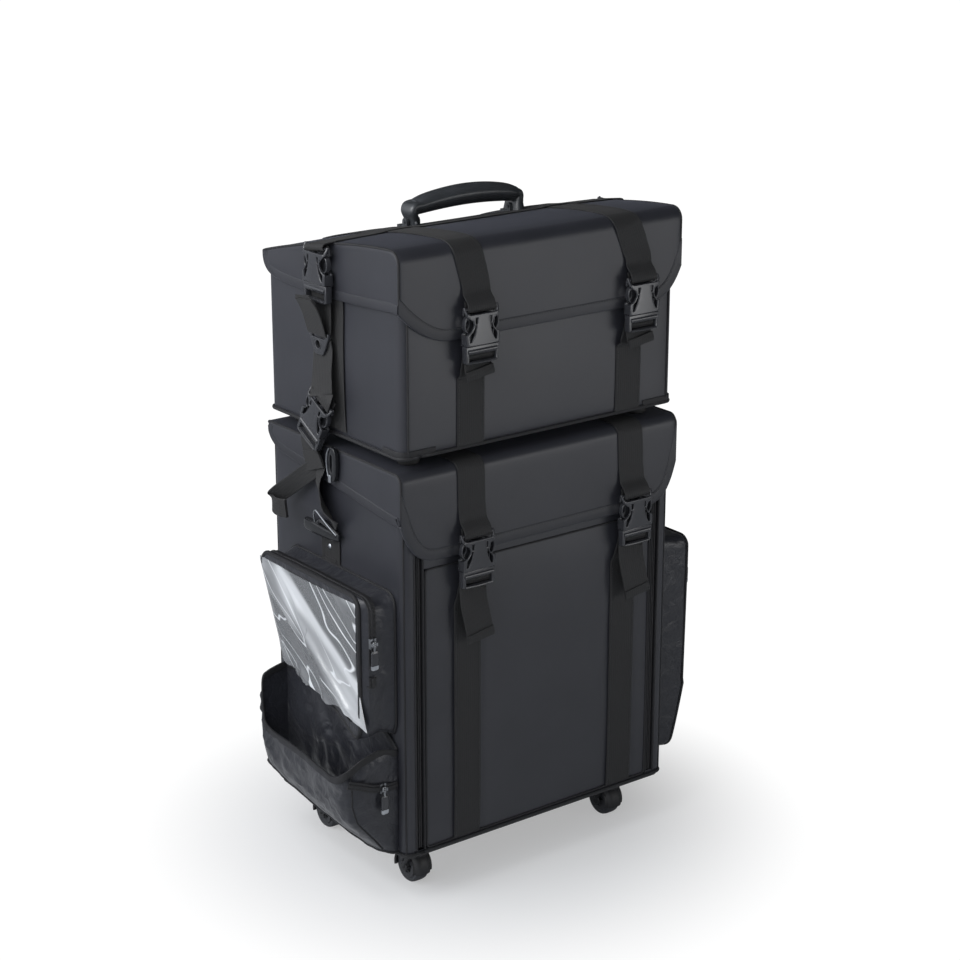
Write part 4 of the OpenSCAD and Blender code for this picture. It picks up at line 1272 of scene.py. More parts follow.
@dataclass
class LowerCase:
    """The wheeled lower case: padded walls with the door's opening, tray bay and zip tapes."""
    door_half: float = 169.5
    door_low: float = 69.0
    door_top: float = 419.5
    tape_in: float = 172.0
    tape_out: float = 181.0

    def build(self) -> None:
        """Builds and dresses the lower case."""
        self.walls()
        self.zips()
        LOWER_WALLS.piping("lower_case_piping", Body.LOWER, (66.5, 0.6, 2.0), (3.0, 3.0, 1.1), (67, 200, 360, 522))

    def walls(self) -> None:
        """Makes the shell and cuts its openings."""
        shell = LOWER_WALLS.build("lower_walls")
        cuts = [block("bay", (-190, -127, 73), (190, 127, 424), lining_nylon),
                block("opening", (-self.door_half, -150, self.door_low), (self.door_half, -125.5, self.door_top),
                      lining_nylon)]
        for s in (-1, 1):
            cuts.append(block("groove", (s * self.tape_in, -150, 72), (s * self.tape_out, -131.8, 459), binding_nylon))
        carve(shell, cuts)
        place(shell, Body.LOWER, "case_nylon", "lower_shell")

    def zips(self) -> None:
        """Lays the coil tapes in their grooves, with a welt along each edge."""
        for s in (-1, 1):
            mid = s * (self.tape_in + self.tape_out) / 2
            rows = [(mid, -132.3, z) for z in (72.5, 200, 330, 458.5)]
            tape = swept("tape", np.array(rows, float), (1, 0, 0), rounded_rectangle(8.6, 1.0, 0.4), coil_tape)
            coils = []
            for shift in (-1.35, 1.35):
                line = np.array([(mid + shift, -133.2 - 0.25 * (k % 2), 73 + 0.8 * k) for k in range(482)], float)
                coils.append(swept("coil", line, (1, 0, 0), circle(1.25, 6), coil_tape, sharp=80))
            piece = join(f"front_zip_{hand(s)}", [tape, *coils])
            place(piece, Body.LOWER, "zip_coil", *only_first(s > 0, "zipper_tapes"))
            welts = [tube("welt", [(s * x, -135.3, z) for z in (70, 190, 320, 460)], 1.25, binding_nylon, 4, 8)
                     for x in (self.tape_in - 1.3, self.tape_out + 1.4)]
            place(join(f"zip_welts_{hand(s)}", welts), Body.LOWER, "case_nylon")


@dataclass
class UpperCase:
    """The lift-off upper case: padded walls on rubber feet."""
    foot_x: float = 168.0
    foot_y: float = 105.0

    def build(self) -> None:
        """Builds and dresses the upper case."""
        shell = UPPER_WALLS.build("upper_walls")
        place(shell, Body.UPPER, "case_nylon", "upper_shell")
        UPPER_WALLS.piping("upper_case_piping", Body.UPPER, (UPPER_Z + 2.2, 0.7, 2.3), (9.0, -0.3, 1.3),
                           (554, 610, 670, 728))
        self.corner_patches()
        self.feet()

    def corner_patches(self) -> None:
        """Narrow doubled nylon round the two lower front corners."""
        level = 558
        for s in (-1, 1):
            path = [(s * (HALF_W + out), y, level) for out, y in
                    ((0.7, -100), (0.8, -122), (-2.4, -HALF_D + 2.4), (-13, -HALF_D - 0.8), (-46, -HALF_D - 0.7))]
            patch = swept(f"corner_patch_{hand(s)}", smooth_line(path), (0, 0, 1), rounded_rectangle(7.5, 1.3, 0.5),
                          binding_nylon)
            place(patch, Body.UPPER, "case_nylon")

    def feet(self) -> None:
        """Four turned rubber feet with a rounded edge and a screw recess."""
        profile = [(5, 5), (6, 0.8), (9, 0), (11.4, 0.5), (12.8, 2.6), (13, 6), (12.6, 13.6), (11, 14), (0.5, 14)]
        for i, (sx, sy) in enumerate(((-1, -1), (1, -1), (-1, 1), (1, 1))):
            rings = spun(profile, 32, (sx * self.foot_x, sy * self.foot_y, UPPER_Z - 14), 2)
            place(lofted(f"rubber_foot_{i}", rings, rubber), Body.UPPER, "rubber_feet", *only_first(i, "upper_feet"))


@dataclass
class FrontDoor:
    """The fold-down front door: a padded panel with piping, pulled in along its sewn straps."""
    half: float = 169.0
    low: float = 69.5
    top: float = 419.0
    front: float = -135.0
    thick: float = 9.0
    corner: float = 6.0

    def relief(self, x: Points, z: Points) -> Points:
        """How far the panel stands out at each place.

        Args:
            x: Places across.
            z: Heights.

        Returns:
            Millimetres towards the front.
        """
        u, v = x / self.half, (z - (self.low + self.top) / 2) / (self.top - self.low) * 2
        puff = 2.2 * (1 - np.abs(u) ** 5) * (1 - np.abs(v) ** 6)
        for strap in LOWER_STRAPS:
            puff = puff - 1.5 * np.exp(-((np.abs(x - strap) - 20.5) / 3.0) ** 2) * (z < 372)
        for height in (262.0, 232.0):
            crease = np.exp(-((z - height - 0.03 * (x + 150)) / 3.5) ** 2) * np.exp(-((x + 152) / 22) ** 2)
            puff = puff - 0.7 * crease
        return puff

    def build(self) -> None:
        """Builds the panel and its piping."""
        rim = self.corner * (1 - np.cos(np.linspace(0, math.pi / 2, 5)))
        z = np.concatenate([self.low + rim, np.linspace(self.low + self.corner, self.top - self.corner, 44)[1:-1],
                            self.top - rim[::-1]])
        reach = np.clip(self.corner - np.minimum(z - self.low, self.top - z), 0, None)
        half = self.half - self.corner + np.sqrt(np.maximum(self.corner ** 2 - reach ** 2, 0))
        share = np.linspace(-1, 1, 97)
        x = share[None] * half[:, None]
        zz = np.broadcast_to(z[:, None], x.shape)
        outer = np.stack([x, np.full_like(x, self.front), zz], -1)
        outer[..., 1] -= np.maximum(self.relief(x, zz) + 0.5 * ripple(outer, 110.0, 3.0), -0.6)
        inner = np.stack([x, np.full_like(x, self.front + self.thick), zz], -1)
        panel = slab("door_panel", outer, inner, case_nylon)
        place(panel, Body.DOOR, "case_nylon", "front_door")
        h, lo, hi, y = self.half - 1.2, self.low + 1.2, self.top - 1.2, self.front - 0.5
        ring = rounded_rectangle(2 * h, hi - lo, self.corner - 1, 5)
        line = np.column_stack([ring[:, 0], np.full(len(ring), y), ring[:, 1] + (lo + hi) / 2])
        dense = np.vstack([np.linspace(a, b, 6, endpoint=False) for a, b in zip(line, np.roll(line, -1, 0))])
        piping = swept("door_piping", np.vstack([dense, dense[:1]]), (0, 1, 0), circle(1.3, 8), binding_nylon)
        place(piping, Body.DOOR, "case_nylon")


@dataclass
class PaddedLid:
    """A lid: one padded cover that runs over the top and down the front as a flap, with side skirts."""
    name: str
    body: Body
    node: str
    rise: Callable[[float], float]
    corner_z: float
    flap_low: float
    skirt: tuple[tuple[float, float], ...]
    straps: tuple[float, float]
    buckles: tuple[float, float]
    buckle_z: float
    curl: tuple[float, float]
    bend: float = 15.0
    crown: float = 2.2
    thick: float = 7.6
    flap_t: float = 3.8
    curve_x: float = 136.0

    def hem(self, x: Points) -> Points:
        """Height of the flap's lower edge at each place across."""
        reach = np.clip((np.abs(x) - self.curve_x) / (LID_HALF_W - self.curve_x), 0, 1)
        return self.flap_low + (self.corner_z - self.flap_low) * reach ** np.where(x < 0, *self.curl)

    def side_line(self, low: float) -> tuple[Points, Points, Points]:
        """The cover's line in side view, from the flap's hem over the top to the back.

        Args:
            low: Height where it starts.

        Returns:
            Its [y, z] points, outward directions, and how padded each is, from 0 to 1.
        """
        r = self.bend
        top = self.rise(LID_FRONT_Y + r)
        pts, out, pad = [], [], []
        for t in np.linspace(0, 1, 13)[:-1]:
            pts.append((LID_FRONT_Y, low + (top - r - low) * t))
            out.append((-1.0, 0.0))
            pad.append(0.35 * math.sin(math.pi * t) ** 0.5 if t else 0.0)
        for a in np.linspace(0, math.pi / 2, 8):
            out.append((-math.cos(a), math.sin(a)))
            pts.append((LID_FRONT_Y + r + r * out[-1][0], top - r + r * out[-1][1]))
            pad.append(0.0)
        for y in np.linspace(LID_FRONT_Y + r, HALF_D - 4, 27)[1:]:
            slope = self.rise(y + 0.5) - self.rise(y - 0.5)
            pts.append((y, self.rise(y)))
            out.append(tuple(unit(np.array([-slope, 1.0]))))
            pad.append(math.sin(math.pi * (y - LID_FRONT_Y) / (HALF_D - LID_FRONT_Y)) ** 0.6)
        end = self.rise(HALF_D)
        pts += [(HALF_D - 1.2, end - 0.8), (HALF_D, end - 3.2)]
        out += [(0.6, 0.8), (1.0, 0.0)]
        pad += [0.0, 0.0]
        return np.array(pts), np.array(out), np.array(pad)

    def surface(self, x: Points, low: Points) -> tuple[Points, Points]:
        """The cover's outer face.

        Args:
            x: Places across.
            low: Height of the hem at each.

        Returns:
            Rows and columns of points, and of outward directions.
        """
        grid, ways = [], []
        for across, start in zip(x, low):
            pts, out, pad = self.side_line(start)
            edge = max(abs(across) - (LID_HALF_W - 4), 0)
            drop = 4 - math.sqrt(max(16 - edge ** 2, 0))
            puff = self.crown * pad * (1 - min(abs(across) / LID_HALF_W, 1) ** 4) - drop
            pts = pts + out * puff[:, None]
            grid.append(np.column_stack([np.full(len(pts), across), pts]))
            ways.append(np.column_stack([np.zeros(len(pts)), out]))
        grid, ways = np.array(grid).transpose(1, 0, 2), np.array(ways).transpose(1, 0, 2)
        fade = np.clip((LID_HALF_W - np.abs(grid[..., 0])) / 30, 0, 1)
        return grid + ways * (fade * 0.7 * ripple(grid, 120.0, self.corner_z / 100))[..., None], ways

    def build(self) -> None:
        """Builds the cover, the skirts and their trim."""
        x = np.concatenate([-LID_HALF_W + 4 * (1 - np.cos(np.linspace(0, math.pi / 2, 5))),
                            np.linspace(-LID_HALF_W + 4, LID_HALF_W - 4, 75)[1:-1],
                            LID_HALF_W - 4 + 4 * np.sin(np.linspace(0, math.pi / 2, 5))])
        outer, ways = self.surface(x, self.hem(x))
        depth = np.concatenate([np.full(12, self.flap_t), np.linspace(self.flap_t, self.thick, 8),
                                np.full(outer.shape[0] - 20, self.thick)])
        depth[-2:] = (6, 4)
        flat = [self.side_line(z)[0] for z in self.hem(x)]
        under = np.array([np.column_stack([np.full(len(f), a), f]) for a, f in zip(x, flat)]).transpose(1, 0, 2)
        inner = under - ways * depth[:, None, None]
        inner[-1, :, 1:] = (HALF_D - 4, self.rise(HALF_D) - self.thick)
        inner[..., 2] = np.where(inner[..., 1] > LID_FRONT_Y + 6, np.maximum(inner[..., 2], self.seat()), inner[..., 2])
        cover = slab(f"{self.name}_cover", outer, inner, lid_nylon)
        place(cover, self.body, "case_nylon", self.node)
        self.hem_binding()
        for side in Side:
            self.side_skirt(side)

    def seat(self) -> float:
        """Height of the case's rim under this lid."""
        return UPPER_TOP if self.body is Body.UPPER_LID else LOWER_TOP + 0.3

    def hem_binding(self) -> None:
        """Wraps a woven tape round the flap's edge and sews it down."""
        x = LID_HALF_W * np.sin(np.linspace(-math.pi / 2, math.pi / 2, 61))
        line = np.column_stack([x, np.full(61, LID_FRONT_Y + self.flap_t / 2), self.hem(x)])
        tangent = unit(np.gradient(line, axis=0))
        inward = np.column_stack([-tangent[:, 2], np.zeros(61), tangent[:, 0]])
        section = rounded_rectangle(14.5, self.flap_t + 1.6, 1.6) + (5.8, 0)
        # The hem tape is in the darker nylon that paints the shade along the hem.
        tape = swept(f"{self.name}_hem_tape", line, inward, section, hem_cloth_painted_shade)
        ring = len(section)
        for end, s in ((0, -1), (len(line) - 1, 1)):
            for v in list(tape.data.vertices)[end * ring:(end + 1) * ring]:
                short = s * LID_HALF_W * MM - v.co.x
                v.co.x += short
                v.co.z += short * tangent[end, 2] / tangent[end, 0]
        place(tape, self.body, "case_nylon")
        sewn = stitches(f"{self.name}_hem_stitching", line + inward * 10.8 - (0, self.flap_t / 2 + 0.9, 0))
        place(sewn, self.body, "case_nylon")

    def side_skirt(self, side: Side) -> None:
        """Builds one side skirt with its edge tape, and the piping along the cover's side edge.

        Args:
            side: Which side.
        """
        s = side.value
        tag = f"{self.name}_{side.name.lower()}"
        hem = smooth_line([(0, y, z) for y, z in self.skirt], 4)
        y = hem[:, 1]
        top = np.array([self.rise(v) - 3.5 for v in np.minimum(y, HALF_D)])
        front = np.clip((y - LID_FRONT_Y) / self.bend, 0, 1)
        top -= self.bend * (1 - np.sqrt(1 - (1 - front) ** 2)) * 0.9
        share = np.linspace(0, 1, 9)[:, None]
        zz = hem[None, :, 2] * (1 - share) + np.maximum(top, hem[:, 2] + 1)[None] * share
        yy = np.broadcast_to(y, zz.shape)
        puff = 1.1 * np.sin(math.pi * share) * np.sin(math.pi * np.linspace(0.02, 0.98, len(y)))[None] ** 0.5
        outer = np.stack([s * (LID_HALF_W - 0.3 + puff), yy, zz], -1)
        inner = np.stack([np.full_like(zz, s * (LID_HALF_W - self.flap_t)), yy, zz], -1)
        skirt = slab(f"{tag}_skirt", outer, inner, lid_nylon)
        place(skirt, self.body, "case_nylon")
        mid = hem.copy()
        mid[:, 0] = s * (LID_HALF_W - self.flap_t / 2)
        tangent = unit(np.gradient(mid, axis=0))
        inward = np.column_stack([np.zeros(len(mid)), tangent[:, 2], -tangent[:, 1]])
        section = rounded_rectangle(11.5, self.flap_t + 1.5, 1.5) + (4.4, 0)
        # The skirt's edge tape is in the same darker nylon, which paints shade along the edge.
        tape = swept(f"{tag}_skirt_tape", mid, inward, section, hem_cloth_painted_shade)
        place(tape, self.body, "case_nylon")
        pts, out, _ = self.side_line(self.corner_z)
        edge = np.column_stack([np.full(len(pts), s * (LID_HALF_W - 1.0)), pts - out * 1.0])
        piping = swept(f"{tag}_edge_piping", edge[2:], (1, 0, 0), circle(1.5, 8), binding_nylon)
        place(piping, self.body, "case_nylon")

    def strap_line(self, i: int, back: float, lift: float = 1.0) -> list[tuple[float, float, float]]:
        """Points of a strap over the lid and down its flap to the buckle.

        Args:
            i: Which strap, 0 or 1.
            back: Where it starts at the back.
            lift: Its middle's height over the cloth.

        Returns:
            The points, from the back to the buckle's bar and round it.
        """
        x = self.buckles[i]
        grid, ways = self.surface(np.array([x]), np.array([self.flap_low]))
        run = (grid + ways * lift)[:, 0]
        high = self.rise(LID_FRONT_Y + self.bend)
        near = self.buckle_z + 24
        run[:, 0] += (self.straps[i] - x) * np.clip((run[:, 2] - near) / (high - near), 0, 1)
        keep = [tuple(p) for p in run[::-1] if p[1] <= back and p[2] > self.buckle_z + 26]
        z, y = self.buckle_z, LID_FRONT_Y - 1.0
        loop = [(y - 1.6, z + 22), (y - 3.4, z + 13), (-151.5, z + 5.5), (-154.2, z - 1.4), (-153.2, z - 4.9),
                (-151.0, z - 5.6), (-148.6, z - 4.9), (-147.6, z - 2), (-147.4, z + 1.6), (-146.0, z + 6)]
        return keep + [(x, a, b) for a, b in loop]


def upper_rise(y: float) -> float:
    """Height of the upper lid's top at each place from front to back."""
    return UPPER_TOP + 55 - 45 * (max(0.0, y - LID_FRONT_Y) / (HALF_D - LID_FRONT_Y)) ** 1.7


def lower_rise(y: float) -> float:
    """Height of the lower lid's top, which is level."""
    return LOWER_LID_TOP


@dataclass
class LidStraps:
    """Straps over both lids, and the strap across the upper lid between the side buckles."""
    web: Webbing

    def build(self, upper: PaddedLid, lower: PaddedLid) -> None:
        """Lays the straps of both lids.

        Args:
            upper: The upper lid.
            lower: The lower lid.
        """
        for lid in (upper, lower):
            for i in (0, 1):
                strap = self.web.strap(f"{lid.name}_strap_{i}", lid.strap_line(i, HALF_D - 3), (1, 0, 0), 3)
                place(strap, lid.body, "webbing", *only_first(i, f"{lid.name}_straps"))
        self.cross_strap()

    def cross_strap(self) -> None:
        """Lays the strap from side to side over the upper lid and round both side buckles' bars."""
        slope = upper_rise(SIDE_Y + 0.5) - upper_rise(SIDE_Y - 0.5)
        across = unit(np.array([0, 1, slope]))
        points = []
        for x in np.linspace(-190, 190, 39):
            over = sum(math.exp(-((x - s) / 24) ** 4) for s in UPPER_OVER)
            flat = 1 - min(abs(x) / LID_HALF_W, 1) ** 4
            points.append((x, SIDE_Y, upper_rise(SIDE_Y) + 1.0 + 2.0 * flat + 1.7 * over))
        rim = upper_rise(SIDE_Y)
        end = [(199.5, rim + 1.3), (205, rim + 0.7), (210.5, 775.6), (216.4, 774.6), (217.8, 771.8), (216.4, 769),
               (214, 768.4), (211.4, 769.2), (210.4, 771.6), (208.6, 773)]
        right = [(x, SIDE_Y, z) for x, z in end]
        left = [(-x, y, z) for x, y, z in right][::-1]
        strap = self.web.strap("cross_strap", left + points + right, across, 3)
        place(strap, Body.UPPER_LID, "webbing")


# Straps that are sewn to the cases

BAR_LOOP = ((-0.5, 5.5), (-3.2, -1.4), (-2.2, -4.9), (0, -5.6), (2.4, -4.9), (3.4, -2), (3.6, 1.6), (5, 6))


@dataclass
class FrontStraps:
    """Straps sewn up the front of the door and of the upper case, with the buckles' tails."""
    web: Webbing

    def sewn(self, name: str, x: float, end_x: float, low: float, high: float, buckle_z: float,
             out: Callable[[float, float], float]) -> Obj:
        """Lays one sewn strap that leaves the cloth behind its buckle.

        Args:
            name: The piece's name.
            x: Its place across.
            end_x: Its buckle's place across.
            low: Where it starts.
            high: Where it leaves the cloth.
            buckle_z: Top of its buckle.
            out: How far the cloth stands in front of the case at a place.

        Returns:
            The strap.
        """
        rows = [(x, -HALF_D - out(x, z) - 0.9, z) for z in np.linspace(low, high, 16)]
        plug = buckle_z - BUCKLE_LENGTH
        rows += [(x + (end_x - x) * a, y, plug + z) for a, y, z in
                 ((0.2, -140.2, -16), (0.5, -141.6, -8), (0.8, -142.6, 0), (1, -143.6, 12), (1, -144, 18))]
        return self.web.strap(name, rows, (1, 0, 0), 4)

    def tail(self, name: str, x: float, buckle_z: float, length: float) -> Obj:
        """Lets one tail out under its buckle, with a hem at its end.

        Args:
            name: The piece's name.
            x: Its place across.
            buckle_z: Top of its buckle.
            length: How far it hangs.

        Returns:
            The tail.
        """
        z = buckle_z - BUCKLE_LENGTH
        share = length / 68
        rows = [(x, -149.0, z + 11.5), (x, -151.4, z + 8.5), (x, -150.6, z + 5.2), (x - share, -147.6, z + 2.6),
                (x - 2 * share, -146.6, z - 1), (x - 3 * share, -147.2, z - 2 - 5 * share),
                (x - 3 * share, -147.6 - 2 * share, z - 20 * share - 3),
                (x, -148 - 3.6 * share, z - 40 * share - 1), (x + 2.4 * share, -148.4 - 4.6 * share, z - 56 * share),
                (x + 4.4 * share, -148.6 - 4.4 * share, z - 68 * share)]
        run = self.web.strap("run", rows, (1, 0, 0), 4)
        end = np.array(rows[-2:], float)
        way = unit(end[1] - end[0])
        hem = [end[1] - way * 10 + (0, -1.5, 0), end[1] - way * 4 + (0, -1.7, 0), end[1] + way * 0.8 + (0, -0.7, 0)]
        fold = self.web.strap("fold", hem, (1, 0, 0), 3)
        return join(name, [run, fold])

    def build(self, door: FrontDoor) -> None:
        """Sews and dresses all four.

        Args:
            door: The front door.
        """
        def door_out(x: float, z: float) -> float:
            """How far the door's panel stands out at a place."""
            return float(door.relief(np.array(x), np.array(z)))

        for i, x in enumerate(LOWER_STRAPS):
            strap = self.sewn(f"door_strap_{i}", x, LOWER_BUCKLES[i], 71.5, 366, LOWER_BUCKLE_Z, door_out)
            place(strap, Body.DOOR, "webbing", *only_first(i, "door_straps"))
            tail = self.tail(f"door_strap_tail_{i}", LOWER_BUCKLES[i], LOWER_BUCKLE_Z, 66)
            place(tail, Body.DOOR, "webbing", *only_first(i, "strap_tails"))
            self.sew_down(f"door_strap_sewing_{i}", x, 73, 360, door_out, Body.DOOR)
        for i, x in enumerate(UPPER_STRAPS):
            strap = self.sewn(f"upper_case_strap_{i}", x, UPPER_BUCKLES[i], 555.5, 634, UPPER_BUCKLE_Z,
                              UPPER_WALLS.front)
            place(strap, Body.UPPER, "webbing", *only_first(i, "upper_straps"))
            tail = self.tail(f"upper_strap_tail_{i}", UPPER_BUCKLES[i], UPPER_BUCKLE_Z, 17)
            place(tail, Body.UPPER, "webbing")
            self.sew_down(f"upper_strap_sewing_{i}", x, 558, 630, UPPER_WALLS.front, Body.UPPER)

    def sew_down(self, name: str, x: float, low: float, high: float, out: Callable[[float, float], float],
                 body: Body) -> None:
        """Runs a row of stitches along both edges of a sewn strap.

        Args:
            name: The piece's name.
            x: The strap's place across.
            low: Where the rows start.
            high: Where they end.
            out: How far the cloth stands in front of the case at a place.
            body: What they ride on.
        """
        rows = []
        for s in (-1, 1):
            across = x + s * (WEB_W / 2 - 2.2)
            line = np.array([(across, -HALF_D - out(x, z) - 1.9, z) for z in np.linspace(low, high, 24)])
            rows.append(stitches("row", line, 3.6, 0.35))
        place(join(name, rows), body, "webbing")


@dataclass
class SideChain:
    """One side's run of straps: lid buckle, loose tab, ring, webbing, lower buckle, hook and clip."""
    web: Webbing
    side: Side

    def at(self, points: Iterable[Sequence[float]]) -> list[tuple[float, float, float]]:
        """Turns [distance out, y, z] points to this side's own."""
        return [(self.side.value * p[0], p[1], p[2]) for p in points]

    def lean(self, points: Iterable[Sequence[float]]) -> list[tuple[float, float, float]]:
        """Turns [out from the buckle's middle, z] points of the leaning buckle to [out, y, z]."""
        return [(SIDE_X + out, CHAIN_TOP[0] - z * LEAN_SIN, CHAIN_TOP[1] + z * LEAN_COS) for out, z in points]

    def name(self, what: str) -> str:
        """Name of a piece on this side."""
        return f"{what}_{self.side.name.lower()}"

    def stand(self, *at: float) -> Matrix:
        """Turns what was built facing the front to face away from this side, at [distance out, y, z]."""
        return (Matrix.Translation(Vector(self.at([at])[0]) * MM)
                @ Matrix.Rotation(math.radians(90 * self.side.value), 4, "Z"))

    def lay(self, what: str, body: Body, parts: Sequence[tuple[Any, ...]], *nodes: str) -> None:
        """Lays webbing on this side.

        Args:
            what: Name of the piece.
            body: What it rides on.
            parts: Points as [distance out, y, z], direction of the width and steps, for each length of webbing.
            nodes: CAD nodes that the left side's piece stands for.
        """
        runs = [self.web.strap("run", self.at(points), across, steps) for points, across, steps in parts]
        place(join(self.name(what), runs), body, "webbing", *self.nodes(*nodes))

    def nodes(self, *names: str) -> tuple[str, ...]:
        """CAD nodes that the left side's piece stands for."""
        return names if self.side is Side.LEFT else ()

    def build(self) -> None:
        """Builds the side's run from top to bottom."""
        self.upper()
        self.ring()
        self.lower()
        self.tail()
        self.sewn()
        self.hook()
        self.clip()

    def upper(self) -> None:
        """The sewn strap on the upper case, the tab, and the webbing down to the leaning buckle."""
        back = [(201.6, -9, 731), (200.9, -10, 700), (201.2, -9, 660), (201.4, -9.6, 620), (201.0, -10, 585),
                (199.6, -10, 560)]
        self.lay("upper_side_strap", Body.UPPER, [(back, (0, 1, 0), 5)])
        tab = [(211.6, 2, 722), (209.6, 2.4, 712), (208.6, 3.4, 695), (207.8, 5, 680), (208.4, 5.6, 671.6),
               (211.2, 6, 669.6), (214.2, 6, 672), (216.6, 6.4, 681), (220, 7.6, 694), (224.2, 9.2, 705),
               (228.6, 10.6, 713)]
        hem = [(223.6, 9, 707.4), (227.4, 10.2, 714), (229.6, 11, 717)]
        self.lay("side_tab", Body.UPPER, [(tab, (0, 1, 0), 4), (hem, (0, 1, 0), 3)])
        run = [(208.6, 4, 664), (208.0, 3.4, 656), (209.4, 1.6, 646), (211.6, 0.6, 630), (213.8, -1.4, 616)]
        width = [(0, 1, 0)] * 4 + [(0, 0.97, 0.22)]
        loop = self.lean([(3.2, 3.0)] + [(-a, z) for a, z in BAR_LOOP[1:]])
        run += [(216.4, -3.8, 603.5)] + loop
        width += [(0, LEAN_COS + 0.05, LEAN_SIN * 0.8)] + [(0, LEAN_COS, LEAN_SIN)] * len(loop)
        self.lay("side_webbing", Body.UPPER, [(run, width, 4)])

    def ring(self) -> None:
        """The moulded ring with its round hole."""
        hole = [(5 * math.cos(a), 5 * math.sin(a) + 662) for a in np.linspace(0, TURN, 20, endpoint=False)]
        slot = [(-13, 669.4), (13, 669.4), (13, 673), (-13, 673)]
        outline = [(-19, 676.6), (-19.6, 673), (-9, 652), (-6, 650), (7, 650), (10, 652), (20.6, 673), (20, 676.6)]
        shape = plate(self.name("side_ring"), outline, [hole, slot], -2.0, 2.0, buckle_acetal, 0.9, 0.3)
        bead = [(5.4 * math.cos(a), -2.1, 5.4 * math.sin(a) + 662) for a in np.linspace(0, TURN, 25)]
        rim = swept("rim", np.array(bead), (0, 1, 0), circle(0.8, 8), buckle_acetal)
        ring = join(self.name("side_ring"), [shape, rim])
        ring.data.transform(self.stand(210.8, 5.5, -3))
        place(ring, Body.UPPER, "buckle_plastic", *self.nodes("side_rings"))

    def lower(self) -> None:
        """The hem under the leaning buckle and the strap to the clip."""
        top = self.lean([(-3.2, -50), (-2.2, -56), (-1.2, -62), (-1.6, -68)])
        patch = top + [(211.4, 29, 528), (210.0, 25, 517), (209.2, 21, 506)]
        wide = [(0, LEAN_COS, LEAN_SIN)] * 4 + [(0, 0.94, 0.34), (0, 0.98, 0.18), (0, 1, 0.05)]
        over = [(p[0] + 1.7, p[1], p[2]) for p in patch[-3:]]
        load = [(208.0, 23, 512), (207.6, 23.5, 498), (207.4, 20, 482), (207, 13, 467), (206.6, 4, 456),
                (206, -5, 447), (205.4, -12, 440)]
        across = [(0, 0.98, -0.1), (-0.3, 0.93, -0.24), (-0.5, 0.82, -0.26), (-0.55, 0.82, -0.1), (-0.5, 0.85, 0.12),
                  (-0.3, 0.93, 0.24), (-0.1, 0.94, 0.3)]
        self.lay("lower_side_webbing", Body.LOWER,
                 [(patch, wide, 4), (over, wide[-3:], 4), (load, self.at(across), 5)], "lower_side_straps")

    def tail(self) -> None:
        """The narrower tail that curls out beside the strap."""
        tail = [(208.8, 24, 507), (209.6, 36, 499), (210.6, 50, 489.5), (212, 66, 478), (214, 80, 468),
                (217.4, 92, 458.5), (222, 96.5, 452), (226, 92, 448.5), (227.6, 83, 447.5), (227.6, 72, 448.5),
                (226.4, 60, 450.5)]
        wide = [(0.15, 0.5, 0.85), (0.2, 0.46, 0.86), (0.3, 0.42, 0.85), (0.36, 0.36, 0.86), (0.36, 0.26, 0.9),
                (0.3, 0.1, 0.95), (0.1, 0, 0.99), (0, 0, 1), (0, 0.04, 0.99), (0, 0.08, 0.99), (0, 0.1, 0.99)]
        wide = self.at(wide)
        hem = [(p[0] + 1.6, p[1], p[2]) for p in tail[-2:]]
        small = SideChain(Webbing(width=22.0), self.side)
        small.lay("lower_side_tail", Body.LOWER, [(tail, wide, 5), (hem, wide[-2:], 4)])

    def sewn(self) -> None:
        """The strap that is sewn and riveted to the case above its pocket."""
        sewn = [(199.4, 8, 434), (199.8, 8, 420), (199.8, 8, 395), (199.6, 8, 366)]
        self.lay("sewn_side_strap", Body.LOWER, [(sewn, (0, 1, 0), 4)])
        box = self.web.box_stitch(self.name("sewn_side_stitching"), self.at([(200.9, 8, 386)])[0], (0, 1, 0), (0, 0, 1))
        place(box, Body.LOWER, "webbing")
        profile = [(0.2, 0), (3.2, 0), (3.2, 0.6), (2.4, 1.5), (1.2, 1.8), (0.2, 1.8)]
        sign = self.side.value
        rings = spun([(r, sign * h) for r, h in profile], 20, (sign * 200.5, 9, 411.5), 0, 1.35)
        place(lofted(self.name("side_rivet"), rings, plated_zinc), Body.LOWER, "plate_steel",
              *self.nodes("strap_rivets"))

    def hook(self) -> None:
        """The snap hook that hangs beside the leaning buckle, with its bright gate."""
        outline = [(-26, 538), (-20, 546), (-10, 547), (-3, 540), (0, 528), (-1, 512), (-5, 500), (-12, 494),
                   (-20, 495), (-25, 504), (-28, 520)]
        opening = [(-14, 533), (-11, 536), (-8, 533), (-6.6, 526), (-7, 514), (-10, 508), (-13, 509), (-14.5, 520)]
        shape = plate("hook", outline, [opening], -2.6, 2.6, hook_acetal, 1.1)
        gate = [(-9, -3.2, 545.5), (-2.6, -3.4, 538), (0.4, -3.6, 527), (-0.6, -3.4, 513), (-5, -3.2, 501)]
        wire = tube("gate", gate, 1.25, plated_zinc, 6, 8, (0, 1, 0))
        lug = block("lug", (-13, -4.2, 492), (-4, -2.4, 504), zinc_steel, 0.8)
        whole = join(self.name("side_hook"), [shape, wire, lug])
        whole.data.transform(Matrix.Translation((-5 * MM, 0, 114 * MM)) @ Matrix.Diagonal((0.6, 1, 0.78, 1)))
        flip = Matrix.Scale(-1, 4, (1, 0, 0)) if self.side is Side.LEFT else Matrix.Identity(4)
        whole.data.transform(self.stand(208.2, 0, 0) @ flip)
        if self.side is Side.LEFT:
            whole.data.flip_normals()
        place(whole, Body.LOWER, "buckle_plastic")

